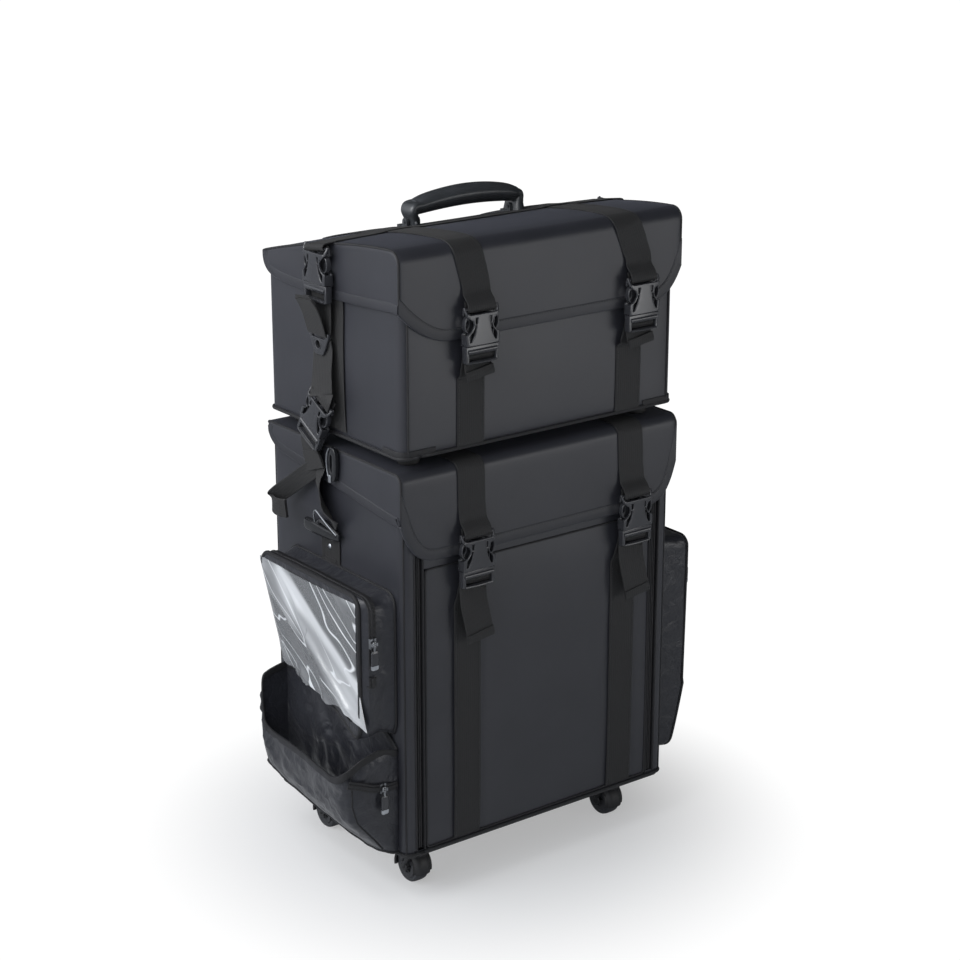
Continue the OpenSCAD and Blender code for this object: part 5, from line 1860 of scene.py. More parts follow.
    def clip(self) -> None:
        """The tapered clip at the end of the side strap, with its sprung wire."""
        line = smooth_line(self.at([(205.6, 52.5, 431.5), (206.2, 45, 431.8), (206.6, 28, 431.4), (206.6, 10, 430.6),
                                    (206, -7, 430.4), (205.2, -19, 431)]), 5)
        body = swept("body", line, (0, 0, 1), rounded_rectangle(15.5, 7.4, 3.2), hook_acetal,
                     lambda t: 0.72 + 0.28 * min(1, t * 8) - 0.72 * max(0, t - 0.35))
        jaw = tube("jaw", self.at([(206, 26, 436), (206.8, 18, 443), (206.8, 6, 442), (206, -6, 437),
                                   (205.2, -15, 432.5)]), 3.2, hook_acetal, 5, 10, (1, 0, 0))
        wire = [(207.4, 30, 438), (208.8, 29.6, 446), (209.6, 28, 452), (209.8, 23.5, 454.6), (209.8, 18.5, 452.4),
                (209.8, 8, 447), (209, -4, 440.5), (207.8, -16, 434)]
        bow = tube("bow", self.at(wire), 0.95, plated_zinc, 5, 8, (1, 0, 0))
        place(join(self.name("side_clip"), [body, jaw, bow]), Body.LOWER, "buckle_plastic", *self.nodes("side_clips"))


@dataclass
class BackStraps:
    """Straps sewn down the back of both cases, where the lids' straps end."""
    web: Webbing

    def build(self) -> None:
        """Lays all four."""
        for i, x in enumerate(LOWER_OVER):
            low = [(x, HALF_D + out, z) for out, z in ((2.4, 525), (1.6, 500), (1.8, 300), (1.6, 90), (1.0, 72))]
            place(self.web.strap(f"lower_back_strap_{i}", low, (1, 0, 0)), Body.LOWER, "webbing",
                  *only_first(i, "back_straps"))
        for i, x in enumerate(UPPER_OVER):
            high = [(x, HALF_D + out, z) for out, z in ((1.4, 729), (2.8, 690), (2.8, 610), (1.4, 560))]
            place(self.web.strap(f"upper_back_strap_{i}", high, (1, 0, 0)), Body.UPPER, "webbing")


# Pockets

def outline_box(low: Sequence[float], high: Sequence[float], radius: float, inset: float) -> tuple[Points, Points]:
    """Evenly filled [y, z] points of a rounded rectangle between two corners.

    Args:
        low: Its lower corner.
        high: Its upper corner.
        radius: Radius of its corners.
        inset: How far it is then drawn in.

    Returns:
        The points, and their middle.
    """
    centre, half = np.add(low, high) / 2, np.subtract(high, low) / 2
    ring = rounded_rectangle(2 * half[0], 2 * half[1], radius, 7) + centre
    dense = []
    for a, b in zip(ring, np.roll(ring, -1, 0)):
        steps = max(1, int(np.linalg.norm(b - a) / 7))
        dense += [a + (b - a) * k / steps for k in range(steps)]
    return centre + (np.array(dense) - centre) * (1 - inset / half), centre


@dataclass
class WindowPocket:
    """The left side's zipped pocket with a clear vinyl front that hangs loose at its lower edge."""
    y_low: float = -121.0
    y_high: float = 97.0
    z_low: float = 262.5
    z_high: float = 392.0
    radius: float = 16.0
    frame_w: float = 11.0

    def ring(self, x: float, inset: float, sag: float = 0.0) -> Points:
        """One section of the pocket.

        Args:
            x: Distance from the case's middle.
            inset: How far it is drawn in.
            sag: How far its cloth sinks further in.

        Returns:
            The ring's points.
        """
        line, centre = outline_box((self.y_low, self.z_low), (self.y_high, self.z_high), self.radius, inset)
        ring = np.column_stack([np.full(len(line), -x), line])
        wave = ripple(ring, 34.0, 4.4, 2)
        ring[:, 1:] -= (line - centre) / np.linalg.norm(line - centre, axis=1)[:, None] * (sag * (1 + wave))[:, None]
        return self.slump(ring)

    def slump(self, points: Points) -> Points:
        """Lets the pouch's lower back corner sink to the case, and its lower front corner hang down.

        Args:
            points: Points of the taut pouch.

        Returns:
            The points where they hang.
        """
        y, z, moved = points[..., 1], points[..., 2], points.copy()
        out = np.clip((-points[..., 0] - 198.5) / 43, 0, 1.2)
        low = np.clip((380 - z) / 120, 0, 1.2) * np.clip((y + 40) / 130, 0, 1.2)
        moved[..., 0] += 16 * low * out
        moved[..., 1] += 17 * np.clip((out - 0.8) / 0.2, 0, 1) * np.clip((-70 - y) / 40, 0, 1) - 15 * low
        moved[..., 2] -= 44 * np.clip((25 - y) / 130, 0, 1.1) ** 1.3 * np.clip((345 - z) / 80, 0, 1)
        return moved

    def build(self) -> None:
        """Builds the pouch, its zip and its window."""
        steps = [(198.4, 0, 0), (199.6, 0.2, 0), (206, 1.2, 1.0), (213, 2.0, 1.9), (220, 2.4, 2.1), (227, 1.6, 1.3),
                 (234, 0.8, 0.6), (238, 0.1, 0.1), (240.4, 0.4, 0), (241.4, 2.4, 0), (241.4, self.frame_w - 1.5, 0),
                 (240.4, self.frame_w, 0), (232, self.frame_w + 1, 0), (226, self.frame_w + 2, 0)]
        pouch = lofted("window_pouch", np.array([self.ring(*s) for s in steps]), pocket_nylon)
        place(pouch, Body.LOWER, "pocket_nylon", "window_pocket")
        wall = self.ring(199.6, 0.3)
        bands = [swept("band", closed(wall), (1, 0, 0), circle(1.8, 10), binding_nylon)]
        for x, inset, radius in ((239.6, 0.6, 3.0), (240.9, self.frame_w - 1.0, 1.1)):
            ring = self.ring(x, inset)
            back = np.flatnonzero((ring[:, 1] > 60) & (ring[:, 2] < 376))
            run = np.roll(ring, -back[-1] - 1, 0)[:len(ring) - len(back)]
            bands.append(swept("band", run, (1, 0, 0), circle(radius, 10), binding_nylon))
        place(join("window_piping", bands), Body.LOWER, "pocket_nylon")
        self.zip()
        self.window()

    def zip(self) -> None:
        """Runs the coil zip round the gusset's front, top and back."""
        ring = self.ring(231.0, 0.9, 0.8)
        keep = ring[ring[:, 2] > 283]
        line = keep[np.argsort(np.arctan2(keep[:, 2] - 300, keep[:, 1] + 8))]
        centre = np.array((-231.0, -8, 326))
        line = line + unit((line - centre) * (0, 1, 1)) * 1.5
        out = unit((line - centre) * (0, 1, 1))
        place(join("window_zip", coil_zip(line, out * 0.8, (1, 0, 0), (10, 1.2), 2.0)), Body.LOWER, "zip_coil")

    def window(self) -> None:
        """Hangs the creased vinyl."""
        rows, cols = 60, 84
        v, u = np.meshgrid(np.linspace(0, 1, rows), np.linspace(0, 1, cols), indexing="ij")
        back = 98.6 - 1.0 * v
        front = -103.5 - 19 * np.clip((v - 0.55) / 0.45, 0, 1) ** 1.4
        y = back + (front - back) * u
        low = 252 - 6 * u - 11 * np.clip((u - 0.72) / 0.28, 0, 1) ** 1.3
        low = low + 1.6 * np.sin(u * 17) * (0.4 + u) + 1.0 * np.sin(u * 43 + 1)
        top = 384 - 1.5 * np.sin(math.pi * u)
        z = top + (low - top) * v
        flat = np.stack([np.zeros_like(y), y, z], -1)
        drape = np.stack([np.zeros_like(y), z * 0.8 - y * 0.6, (y * 0.8 + z * 0.6) * 0.16], -1)
        fold = ripple(drape, 27.0, 2.0, 2)
        ridge = 1 - np.abs(np.clip(fold * 1.7, -1, 1))
        loose = np.sin(math.pi * u) ** 0.4 * np.clip(v * 4, 0, 1)
        x = 242.2 + 1.6 * np.sin(math.pi * u) * np.clip(v * 3, 0, 1) + loose * (6.0 * ridge ** 2 * (0.45 + 0.55 * v))
        x = x + np.clip((v - 0.8) / 0.2, 0, 1) * (2.4 + 1.2 * np.sin(u * 31) + 1.6 * ripple(flat, 13.0, 5.0))
        x = x - 3.5 * np.clip((u - 0.9) / 0.1, 0, 1) * np.clip((v - 0.6) / 0.4, 0, 1)
        x = np.maximum(x, 242.0)
        free = np.stack([-x, y, z], -1)
        sunk = self.slump(free)
        face = np.stack([sunk[..., 0], np.where(y > 0, sunk[..., 1], y), z], -1)
        sheet = slab("window_vinyl", face, face + (0.8, 0, 0), vinyl)
        settle(sheet.data, 70.0)
        place(sheet, Body.LOWER, "clear_vinyl", "window_sheet")


@dataclass
class BellowsPocket:
    """The left side's open bellows pocket: one cloth round its front, outside and back, and an inner wall."""
    seam_share: float = 0.685
    reach: float = 284.0
    floor: float = 67.0

    def rim(self) -> list[tuple[float, float, float]]:
        """The mouth's edge, from the back of the case round to its front.

        Returns:
            Points as [distance out, y, z].
        """
        return [(198.8, 113, 233), (214, 113.5, 230), (228, 113.5, 226), (235, 113, 221), (237.5, 111.6, 205),
                (238.8, 108.5, 182), (239.5, 102, 165), (241.5, 84, 160.5), (247, 45, 164), (256, -10, 169),
                (266, -58, 172.5), (273, -98, 177), (272.6, -114, 185), (265, -120, 191.5), (253, -122.4, 199),
                (240, -123, 203.5), (226, -122.6, 206), (212, -122, 203.5), (205, -121.8, 201), (199, -121.6, 199)]

    def foot(self) -> list[tuple[float, float, float]]:
        """The bottom seam, point for point under the rim.

        Returns:
            Points as [distance out, y, z].
        """
        return [(198.8, 113, 109), (210, 113.5, 107), (222, 113, 108), (229, 112, 110), (233, 109, 110),
                (234, 104, 109), (233.5, 96, 106), (231, 75, 98), (229, 45, 91), (227, 5, 84),
                (224, -35, 78), (221, -75, 73),
                (218, -103, 71), (214, -115, 72), (211, -119, 71), (207.5, -121, 70), (205, -121.6, 69.5),
                (202.5, -121.6, 69), (200.5, -121.4, 69), (198.8, -121.2, 69)]

    def build(self) -> None:
        """Builds the cloth, its inner wall, hems and zip."""
        rim, foot = smooth_line(self.rim(), 7), smooth_line(self.foot(), 7)
        v = np.linspace(0, 1, 34)[:, None, None]
        grid = rim[None] * (1 - v) + foot[None] * v
        u = np.linspace(0, 1, len(rim))[None]
        outer_part = np.clip(np.minimum((u - 0.2) / 0.08, (0.74 - u) / 0.06), 0.15, 1)
        front = np.clip((u - 0.66) / 0.08, 0, 1)
        belly = (5 + 15 * np.clip((u - 0.25) / 0.4, 0, 1)) * np.sin(math.pi * v[..., 0] ** 1.3)
        grid[..., 0] += belly * np.clip((grid[..., 0] - 198.8) / 40, 0, 1)
        slant = np.zeros_like(grid)
        slant[..., 1] = grid[..., 2] * 0.7
        folds = ripple(grid * (0.6, 1.0, 1.0) + slant, 27.0, 8.0, 2)
        crisp = (1 - np.abs(np.clip(folds * 1.6, -1, 1))) ** 1.5
        edge = np.sin(math.pi * np.clip(v[..., 0], 0.02, 0.98)) ** 0.4
        push = edge * (3.4 * crisp - 1.7 + 1.2 * ripple(grid, 60.0, 3.0))
        grid[..., 0] += push * outer_part
        grid[..., 1] -= front * push * 0.35
        ridge = np.exp(-((v[..., 0] - 0.02 - (0.17 * (1 - u) / 0.34)) / 0.05) ** 2)
        grid[..., 1] -= front * 2.2 * ridge * np.clip((grid[..., 0] - 199) / 20, 0, 1)
        grid[..., 0] = np.minimum(grid[..., 0], self.reach)
        grid[..., 2] = np.maximum(grid[..., 2], self.floor)
        face = grid * (-1, 1, 1)
        tangent = np.stack([np.gradient(face[..., k], axis=1) for k in range(3)], -1)
        down = np.stack([np.gradient(face[..., k], axis=0) for k in range(3)], -1)
        normal = unit(np.cross(down, tangent))
        centre = np.array((-225.0, 0, 130))
        normal *= np.sign(np.median(((face - centre) * normal).sum(-1)))
        cloth = slab("bellows_cloth", face, face - normal * 1.2, pocket_nylon)
        place(cloth, Body.LOWER, "pocket_nylon", "bellows_pocket")
        self.hems(face, normal)
        self.inner_wall()
        self.zip()

    def hems(self, face: Points, normal: Points) -> None:
        """Binds the mouth, the front seam and the bottom.

        Args:
            face: The cloth's grid of points.
            normal: Its outward directions.
        """
        hem = face[0] - normal[0] * 0.6
        tape = swept("hem", hem, (0, 0, 1), rounded_rectangle(9, 3.0, 1.2) + (-3.6, 0), binding_nylon)
        seam_at = int(self.seam_share * face.shape[1])
        seam = face[1:-1, seam_at] + normal[1:-1, seam_at] * 0.4
        piping = swept("seam", seam, (0, 1, 0), circle(1.0, 8), binding_nylon)
        bottom = swept("bottom", face[-1] + normal[-1] * 0.2, (0, 0, 1), circle(1.5, 8), binding_nylon)
        place(join("bellows_hems", [tape, piping, bottom]), Body.LOWER, "pocket_nylon")

    def inner_wall(self) -> None:
        """The pocket's back cloth, puckered against the case."""
        y = np.tile(np.linspace(112, -120.5, 60), (34, 1))
        top = 235 - 36 * np.clip((-y - 60) / 60, 0, 1) ** 1.5 - 8 * np.clip((y - 70) / 42, 0, 1)
        share = np.linspace(0, 1, 34)[:, None]
        z = top * (1 - share) + 72 * share
        flat = np.stack([y * 0, y, z], -1)
        fold = 1 - np.abs(np.clip(ripple(flat * (1, 1, 0.6), 34.0, 6.0, 2) * 1.6, -1, 1))
        along = np.sin(math.pi * np.linspace(0.06, 0.94, 60))[None]
        x = 200.2 + 6.0 * fold * along * (0.35 + np.sin(math.pi * share) * 0.6)
        face = np.stack([-x, y, z], -1)
        cloth = slab("bellows_inner_wall", face, face + (1.1, 0, 0), pocket_nylon)
        place(cloth, Body.LOWER, "pocket_nylon")
        hem = swept("bellows_inner_hem", face[0] + (0.4, 0, 0), (0, 0, 1), rounded_rectangle(7, 2.4, 1.0),
                    binding_nylon)
        place(hem, Body.LOWER, "pocket_nylon")

    def zip(self) -> None:
        """The short coil zip across the front gusset."""
        line = smooth_line([(-270, -124.8, 176), (-254, -125.6, 170), (-238, -125.4, 163), (-222, -125.0, 158.8),
                            (-208, -124.0, 157), (-201, -123.2, 156.6)])
        place(join("bellows_zip", coil_zip(line, (0, -0.9, 0), (0, 0, 1), (10, 1.2), 1.8)), Body.LOWER, "zip_coil")


@dataclass
class TallPocket:
    """The right side's tall zipped pocket."""
    y_half: float = 97.0
    low: float = 70.0
    top: float = 366.0
    deep: float = 72.0

    def ring(self, share: float, x: float, inset: float) -> Points:
        """One section of the pocket; lower parts stand out less.

        Args:
            share: Share of the way out, from 0 to 1.
            x: Distance from the case's middle.
            inset: How far it is drawn in.

        Returns:
            The ring's points.
        """
        line, _ = outline_box((-self.y_half, self.low), (self.y_half, self.top), 13, inset)
        tall = np.clip((line[:, 1] - self.low) / (self.top - self.low), 0, 1)
        depth = (x - HALF_W) * (0.66 + 0.34 * np.clip(tall / 0.3, 0, 1) ** 0.8)
        depth *= 1 - 0.05 * np.clip((0.86 - tall) / 0.86, 0, 1) * (tall > 0.3) * (1 if share > 0.4 else 0)
        line[:, 1] -= 12 * max(0.0, (x - HALF_W) / self.deep) ** 1.5 * np.clip((line[:, 1] - 280) / 80, 0, 1)
        return np.column_stack([HALF_W + depth, line])

    def build(self) -> None:
        """Builds the pouch, its piping, seams and zip."""
        rings = []
        for x, inset in ((198.4, 0), (201, 0.3), (212, 1.6), (226, 2.2), (240, 1.6), (254, 0.6), (262, 0), (266.5, 1.2),
                         (268.8, 4.2), (269.6, 9)):
            rings.append(self.ring((x - HALF_W) / self.deep, x, inset))
        for inset in (22, 40, 58, 76):
            rings.append(self.ring(1, 270.6, inset))
        grid = np.array(rings)
        grid[4:, :, 0] += 1.2 * ripple(grid[4:], 42.0, 9.0, 2)
        grid[1:, :, 1:] += 0.8 * ripple(grid[1:], 50.0, 2.0)[..., None]
        grid[..., 0] = np.minimum(grid[..., 0], 273.5)
        pouch = lofted("tall_pouch", grid, pocket_nylon)
        place(pouch, Body.LOWER, "pocket_nylon", "tall_pocket")
        bands = []
        for x, inset, r in ((266.8, 1.0, 1.9), (199.6, 0.2, 1.7)):
            ring = self.ring((x - HALF_W) / self.deep, x, inset)
            bands.append(swept("band", closed(ring), (1, 0, 0), circle(r, 10), binding_nylon))
        place(join("tall_piping", bands), Body.LOWER, "pocket_nylon")
        line = smooth_line([(270.8, y, 325) for y in (-84, -40, 0, 40, 84)])
        flap = swept("flap", line + (0.6, 0, 8.5), (0, 0, 1), rounded_rectangle(9, 2.4, 1.0), binding_nylon)
        zipped = coil_zip(line, (0.9, 0, 0), (0, 0, 1), (11, 1.4), 2.0)
        place(join("tall_zip", [*zipped, flap]), Body.LOWER, "zip_coil")


@dataclass
class PullTab:
    """A zip puller: a corded eye, a moulded tab and a bright tip, hung from its slider's pin."""
    node: str
    pin: tuple[float, float, float]
    turned: bool = False

    def build(self) -> None:
        """Builds the puller round the CAD one's own pin."""
        eye = [(2.3 * math.cos(a), 0, 2.3 * math.sin(a)) for a in np.linspace(0, TURN, 21)]
        parts = [swept("eye", np.array(eye), (0, 1, 0), circle(0.9, 8), dark_zinc)]
        parts.append(tube("neck", [(0, 0, -2), (0, 0, -5), (0, 0, -9)], 1.3, dark_zinc, 4, 10, (1, 0, 0)))
        body = swept("tab", smooth_line([(0, 0, -8), (0, -0.2, -12), (0, -0.2, -20), (0, 0, -26.4)]), (1, 0, 0),
                     rounded_rectangle(9.6, 2.8, 1.1), buckle_acetal, lambda t: 0.72 + 0.28 * min(1, t * 4))
        tip = swept("tip", smooth_line([(0, 0, -25.8), (0, 0, -28.4), (0, 0, -30.6), (0, 0, -31.8)]), (1, 0, 0),
                    rounded_rectangle(10.4, 3.2, 1.3), plated_zinc, lambda t: math.sqrt(max(0.06, 1 - t ** 3)))
        whole = join(f"{self.node}_dressed", parts + [body, tip])
        turn = Matrix.Rotation(math.radians(90 if self.turned else 0), 4, "Z")
        whole.data.transform(Matrix.Translation(Vector(self.pin) * MM) @ turn)
        place(whole, self.node, "slider_metal", self.node)


# Handle and wheels

@dataclass
class CarryHandle:
    """The padded carry handle: a leatherette wrap on a strap core, thickest in its middle."""
    y: float = 16.0
    top: float = 817.2

    def build(self) -> None:
        """Builds the grip and both legs."""
        spine = ((-77, 795.2), (-66, 798.6), (-48, 801.6), (-22, 804), (4, 804.8), (30, 803.8), (54, 801.2),
                 (70, 798.2), (80, 795))
        line = smooth_line([(x, self.y, z) for x, z in spine], 8)
        a = np.linspace(0, TURN, 22, endpoint=False)
        rings = []
        for k, (p, t) in enumerate(zip(line, np.linspace(0, 1, len(line)))):
            thick = 6.8 + 5.6 * math.sin(math.pi * min(max((t - 0.02) / 0.96, 0), 1)) ** 0.55
            wide = 10.5 + 3.4 * math.sin(math.pi * t) ** 0.6
            fold = 0.5 * math.sin(k * 1.9) * (abs(t - 0.5) > 0.4)
            rings.append(p + np.column_stack([a * 0, (wide + fold) * np.sin(a),
                                              (thick + fold) * np.cos(a) - 0.6 * np.cos(2 * a)]))
        rings = np.array(rings)
        for end in (0, -1):
            rings[end] = rings[end].mean(0) + (rings[end] - rings[end].mean(0)) * 0.75
        rings[..., 2] -= max(0.0, rings[..., 2].max() - self.top)
        grip = lofted("handle_grip", rings, leatherette)
        place(grip, Body.HANDLE, "handle_leather", "carry_handle")
        seam = line + (0, -13.2, -3.2)
        seam[:, 1] = self.y - (10.5 + 3.4 * np.sin(math.pi * np.linspace(0, 1, len(line))) ** 0.6) * 0.94
        place(stitches("handle_seam", seam[6:-6], 3.6, 0.4), Body.HANDLE, "handle_leather")
        self.legs()

    def legs(self) -> None:
        """The wrapped loops that carry the grip on its pins."""
        for s, low, high in ((-1, 13.5, 10.0), (1, 12.5, 17.0)):
            path = ((75, 777.2), (75, 781.5), (75.4, 786), (76.6, 790), (77.4, 794), (76, 797.6), (72, 799),
                    (66, 799.6))
            line = smooth_line([(s * x, self.y, z) for x, z in path])
            leg = swept(f"handle_leg_{hand(s)}", line, (0, 1, 0), rounded_rectangle(24, 10.4, 4.0), leatherette,
                        lambda t, a=low, b=high: (a + (b - a) * (1 - min(1, t * 2))) / 13.0)
            place(leg, Body.HANDLE, "handle_leather")
            ring = [(s * 75.8, self.y + 12.6 * math.cos(q), 780.2 + 2.2 * math.sin(q))
                    for q in np.linspace(0, TURN, 24)]
            fold = swept(f"handle_fold_{hand(s)}", np.array(ring), (1, 0, 0), circle(1.6, 8), leatherette)
            place(fold, Body.HANDLE, "handle_leather")


@dataclass
class Caster:
    """A hooded swivel caster with a moulded fork and a cast wheel."""
    tag: str
    x: float
    y: float
    trail: float = 9.0
    axle: float = 21.5
    radius: float = 21.5
    width: float = 21.0

    def build(self) -> None:
        """Builds the hood and the wheel."""
        centre = np.array((self.x, self.y + self.trail, self.axle))
        self.hood(centre)
        self.wheel(centre)

    def hood(self, centre: Points) -> None:
        """A domed hood that closes over the wheel, with a swivel head, cheeks and axle caps.

        Args:
            centre: The wheel's centre.
        """
        arcs = []
        reach, half = self.radius + 3.0, (self.width + 7) / 2
        for t in np.linspace(-half, half, 13):
            r = reach * math.sqrt(max(0.0, 1 - (abs(t) / (half + 1.2)) ** 4)) if abs(t) < half - 0.1 else reach * 0.8
            arcs.append([(t, -r * math.cos(a), r * math.sin(a))
                         for a in np.linspace(math.radians(-14), math.radians(194), 30)])
        outer = np.array(arcs) + centre
        inner = centre + (outer - centre) * (0.86, 0.93, 0.93)
        shell = slab("shell", outer, inner, frame_abs)
        head = [(0.5, 38), (12, 38), (13.5, 40.5), (15.2, 42), (15.4, 47), (14.2, 51), (12.6, 54.2), (8, 54.6),
                (0.5, 54.6)]
        parts = [shell, lofted("head", spun(head, 28, (self.x, self.y, 0), 2), frame_abs)]
        for s in (-1, 1):
            profile = [(0.3, 0), (6.4, 0), (6.4, 1.2), (5.2, 2.2), (2.4, 2.4), (2.0, 1.2), (0.3, 1.2)]
            cap = spun([(r, s * (half - 1.6 + h)) for r, h in profile], 20, centre, 0)
            parts.append(lofted("cap", cap, frame_abs))
            web = [(self.x + s * (half - 1.8), self.y - 8, 46), (self.x + s * (half - 0.6), self.y + 2, 34),
                   tuple(centre + (s * (half - 0.4), 0, 0))]
            parts.append(tube("web", web, 3.0, frame_abs, 5, 10, (0, 1, 0)))
        place(join(f"caster_hood_{self.tag}", parts), f"fork_{self.tag}", "frame_plastic", f"fork_{self.tag}")

    def wheel(self, centre: Points) -> None:
        """A crowned tread on a ribbed hub.

        Args:
            centre: The wheel's centre.
        """
        half = self.width / 2
        profile = [(3.2, -half + 2.5), (8.5, -half + 2.5), (9.5, -half + 0.8), (14.6, -half + 0.6), (16.2, -half + 2.2),
                   (17.4, -half + 1.6), (19.6, -half + 1.6), (20.9, -half + 3.2), (self.radius, -half + 6.5),
                   (self.radius, 0)]
        profile += [(r, -t) for r, t in reversed(profile[:-1])]
        tyre = lofted("tyre", spun(profile, 40, centre, 0), wheel_rubber)
        spokes = []
        for s in (-1, 1):
            for k in range(6):
                a = math.radians(60 * k)
                ends = [centre + (s * (half - 1.6), r * math.cos(a), r * math.sin(a)) for r in (4.5, 8.8, 13.2)]
                spokes.append(tube("spoke", ends, 1.1, frame_abs, 3, 8, (1, 0, 0)))
        place(join(f"caster_wheel_{self.tag}", [tyre, *spokes]), f"wheel_{self.tag}", "wheel_rubber",
              f"wheel_{self.tag}")


# Studio

@dataclass
class Studio:
    """A white sweep in soft daylight, with the photograph's camera."""
    middle: tuple[float, float] = (1.24, 2.5)
    camera_at: tuple[float, float, float] = (-1566.4, -2094.2, 1316.9)
    yaw: float = 37.02
    pitch: float = 18.23
    lens: float = 85.21
    sensor: float = 36.0
    aim_z: float = 0.58
    floor_reach: float = 6.0
    white: float = 1.05

    def build(self) -> None:
        """Makes the floor, the light and the camera."""
        scene = bpy.context.scene
        scene.view_settings.view_transform = "Standard"
        self.floor()
        self.world(scene)
        self.lamp("key_softbox", (900, -1600, 500), (1200, 700), 0.98, 56.0)
        self.lamp("front_softbox", (-400, -900, 1400), (800, 500), 0.6)
        self.lamp("left_softbox", (-800, -200, 1200), (600, 500), 3.9)
        self.lamp("back_softbox", (-1150, 250, 1150), (800, 700), 0.96, 60.0)
        self.lamp("top_softbox", (0, 200, 2600), (2200, 2200), 0.6)
        self.camera(scene)

    def floor(self) -> None:
        """Lays the floor; far from the case the camera sees it as white."""
        mesh = bpy.data.meshes.new("studio_floor")
        r, z = self.floor_reach, -0.0004
        mesh.from_pydata([(-r, -r, z), (r, -r, z), (r, r, z), (-r, r, z)], [], [(0, 1, 2, 3)])
        made = bpy.data.materials.new("studio_floor")
        made.use_nodes = True
        tree = made.node_tree
        shader, out = tree.nodes["Principled BSDF"], tree.nodes["Material Output"]
        feed(shader, {"Base Color": linear("#f4f6f8"), "Roughness": 0.9, "Specular IOR Level": 0.1})
        path = add_node(tree, "ShaderNodeLightPath")
        coords = add_node(tree, "ShaderNodeTexCoord").outputs["Object"]
        away = add_node(tree, "ShaderNodeVectorMath", {0: coords, 1: (0.0, 0.0, 0.0)}, operation="DISTANCE")
        fade = add_node(tree, "ShaderNodeMapRange", {0: away.outputs[1], 1: 0.16, 2: 0.49, 3: 0.36, 4: 1.0},
                        interpolation_type="SMOOTHSTEP")
        seen = add_node(tree, "ShaderNodeMath", {0: fade.outputs[0], 1: path.outputs["Is Camera Ray"]},
                        operation="MULTIPLY")
        glow = add_node(tree, "ShaderNodeEmission", {"Color": (1, 1, 1, 1), "Strength": self.white})
        mix = add_node(tree, "ShaderNodeMixShader", {0: seen.outputs[0], 1: shader.outputs[0], 2: glow.outputs[0]})
        feed(out, {"Surface": mix.outputs[0]})
        mesh.materials.append(made)
        put("studio_floor", mesh)

    def world(self, scene: bpy.types.Scene) -> None:
        """Lights the scene softly and shows white to the camera.

        Args:
            scene: The scene.
        """
        world = bpy.data.worlds.new("studio_world")
        scene.world = world
        world.use_nodes = True
        tree = world.node_tree
        tree.nodes.clear()
        path = add_node(tree, "ShaderNodeLightPath")
        seen = add_node(tree, "ShaderNodeMath", {0: path.outputs["Is Camera Ray"],
                                                 1: path.outputs["Is Transmission Ray"]}, operation="MAXIMUM")
        way = add_node(tree, "ShaderNodeSeparateXYZ", {0: add_node(tree, "ShaderNodeTexCoord").outputs["Generated"]})
        level = add_node(tree, "ShaderNodeMapRange", {0: way.outputs[0], 1: -0.9, 2: 0.0, 3: 1.5, 4: 0.04})
        soft = add_node(tree, "ShaderNodeBackground", {"Color": linear("#f2f5fb"), "Strength": level.outputs[0]})
        white = add_node(tree, "ShaderNodeBackground", {"Color": (1, 1, 1, 1), "Strength": self.white})
        mix = add_node(tree, "ShaderNodeMixShader", {0: seen.outputs[0], 1: soft.outputs[0], 2: white.outputs[0]})
        add_node(tree, "ShaderNodeOutputWorld", {0: mix.outputs[0]})

    def lamp(self, name: str, at: Sequence[float], size: Sequence[float], watts: float,
             spread: float = 180.0) -> None:
        """Hangs one softbox that faces the case.

        Args:
            name: Its name.
            at: Its centre, in millimetres.
            size: Width and height, in millimetres.
            watts: Power.
            spread: Width of its beam, in degrees; a narrow one fades away from the aim.
        """
        light = bpy.data.lights.new(name, "AREA")
        light.shape, light.size, light.size_y, light.energy = "RECTANGLE", size[0] * MM, size[1] * MM, watts
        light.spread = math.radians(spread)
        lamp = put(name, light)
        spot = Vector(at) * MM
        lamp.location = spot
        lamp.rotation_euler = (Vector((0, 0, self.aim_z)) - spot).to_track_quat("-Z", "Y").to_euler()

    def camera(self, scene: bpy.types.Scene) -> None:
        """Sets the camera as it was solved from the photograph.

        Args:
            scene: The scene.
        """
        y, p = math.radians(self.yaw), math.radians(self.pitch)
        ahead = Vector((math.sin(y) * math.cos(p), math.cos(y) * math.cos(p), -math.sin(p)))
        right = Vector((math.cos(y), -math.sin(y), 0))
        data = bpy.data.cameras.new("camera")
        data.lens, data.sensor_width = self.lens, self.sensor
        camera = put("camera", data)
        turn = Matrix((right, right.cross(ahead), -ahead)).transposed().to_4x4()
        at = Vector(self.camera_at) + Vector((*self.middle, 0))
        camera.matrix_world = Matrix.Translation(at * MM) @ turn
        scene.camera = camera


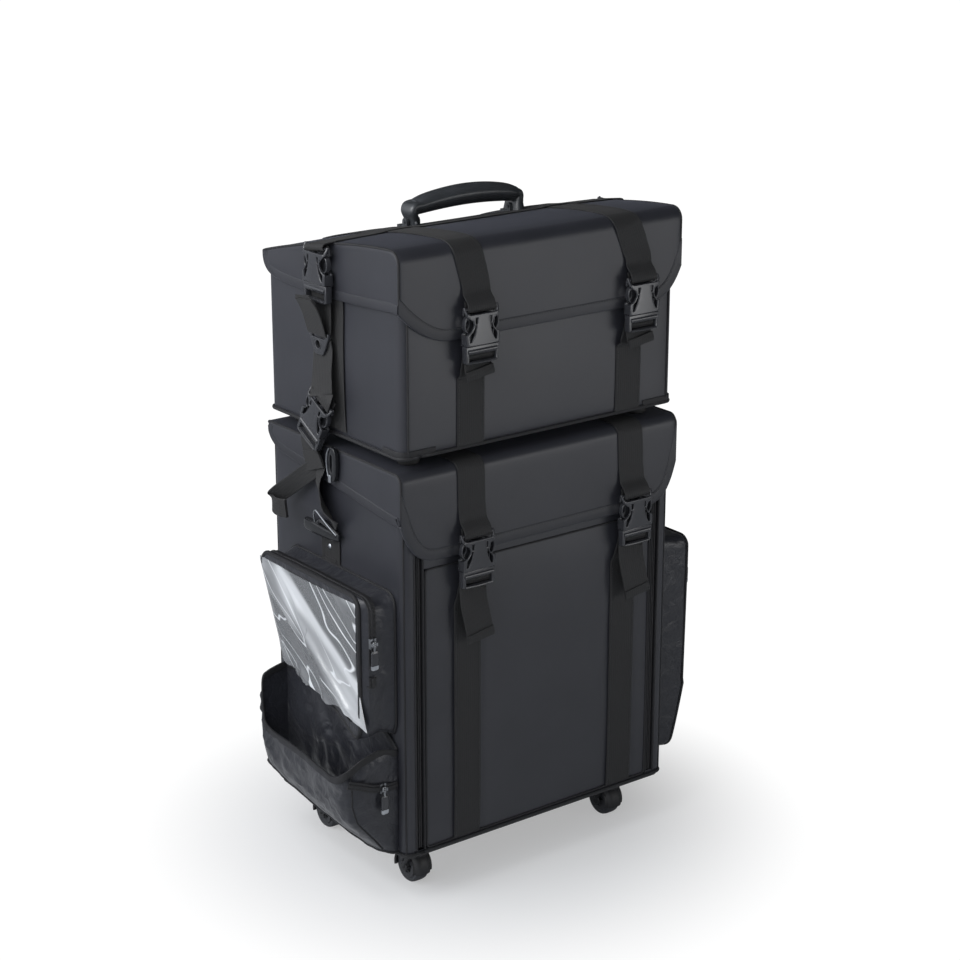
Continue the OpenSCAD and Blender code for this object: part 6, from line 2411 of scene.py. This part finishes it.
def dress_cad() -> None:
    """Gives the CAD nodes that stay in sight their materials."""
    finishes = {"base_pan": frame_abs, "caster_plates": zinc_steel, "drawer_rack": tray_board,
                "drawer": tray_board, "middle_tubes": tube_aluminium, "inner_tubes": tube_aluminium,
                "outer_tubes": tube_aluminium, "release_button": button_abs, "handle_housing": frame_abs,
                "zip_slider": frame_abs, "slider": dark_zinc, "pull": plated_zinc, "fork": frame_abs,
                "wheel": wheel_rubber, "strap_rivets": plated_zinc, "side_rings": buckle_acetal,
                "side_clips": buckle_acetal, "trolley_grip": frame_abs, "carry_handle": leatherette,
                "handle_brackets": leatherette, "window_sheet": vinyl, "pocket": pocket_nylon, "straps": webbing,
                "strap_tails": webbing, "tapes": coil_tape, "feet": rubber, "sockets": buckle_acetal,
                "plugs": buckle_acetal}
    for name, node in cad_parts.items():
        if not isinstance(node, bpy.types.Object) or node.type != "MESH":
            continue
        match = [f for key, f in finishes.items() if key in name]
        finish = match[0] if match else case_nylon
        for slot in node.material_slots:
            slot.material = finish.material()


def main() -> None:
    """Builds every piece in order, then the studio."""
    dress_cad()
    LowerCase().build()
    UpperCase().build()
    FrontDoor().build()
    web = Webbing()
    lower = PaddedLid("lower_lid", Body.LOWER_LID, "lower_lid", lower_rise, 480.0, 430.0,
                      ((133.5, 531), (132, 522), (122, 512), (100, 505), (0, 493), (-122, 478), (-138.6, 480)),
                      LOWER_OVER, LOWER_BUCKLES, LOWER_BUCKLE_Z, (4.0, 5.0), bend=12.0, crown=0.8, thick=7.2)
    upper = PaddedLid("upper_lid", Body.UPPER_LID, "upper_lid", upper_rise, 721.0, 682.5,
                      ((134, 744), (133.5, 735), (129, 726), (118, 719), (95, 715.5), (50, 713.5), (0, 714),
                       (-40, 715.6), (-86, 718.5), (-122, 721), (-138.6, 721)),
                      UPPER_OVER, UPPER_BUCKLES, UPPER_BUCKLE_Z, (1.8, 4.0))
    lower.build()
    upper.build()
    LidStraps(web).build(upper, lower)
    SideReleaseBuckle().build()
    FrontStraps(web).build(FrontDoor())
    for side in Side:
        SideChain(web, side).build()
    BackStraps(web).build()
    WindowPocket().build()
    BellowsPocket().build()
    TallPocket().build()
    PullTab("window_pull", (-233.0, -128.3, 341.37)).build()
    PullTab("bellows_pull", (-222.18, -128.3, 158.75)).build()
    PullTab("tall_pull", (276.3, -83.2, 318.2), turned=True).build()
    CarryHandle().build()
    for tag, x, y in (("front_left", -150, -90), ("front_right", 150, -90), ("rear_left", -150, 90),
                      ("rear_right", 150, 90)):
        Caster(tag, x, y).build()
    Studio().build()


if __name__ == "__main__":
    main()
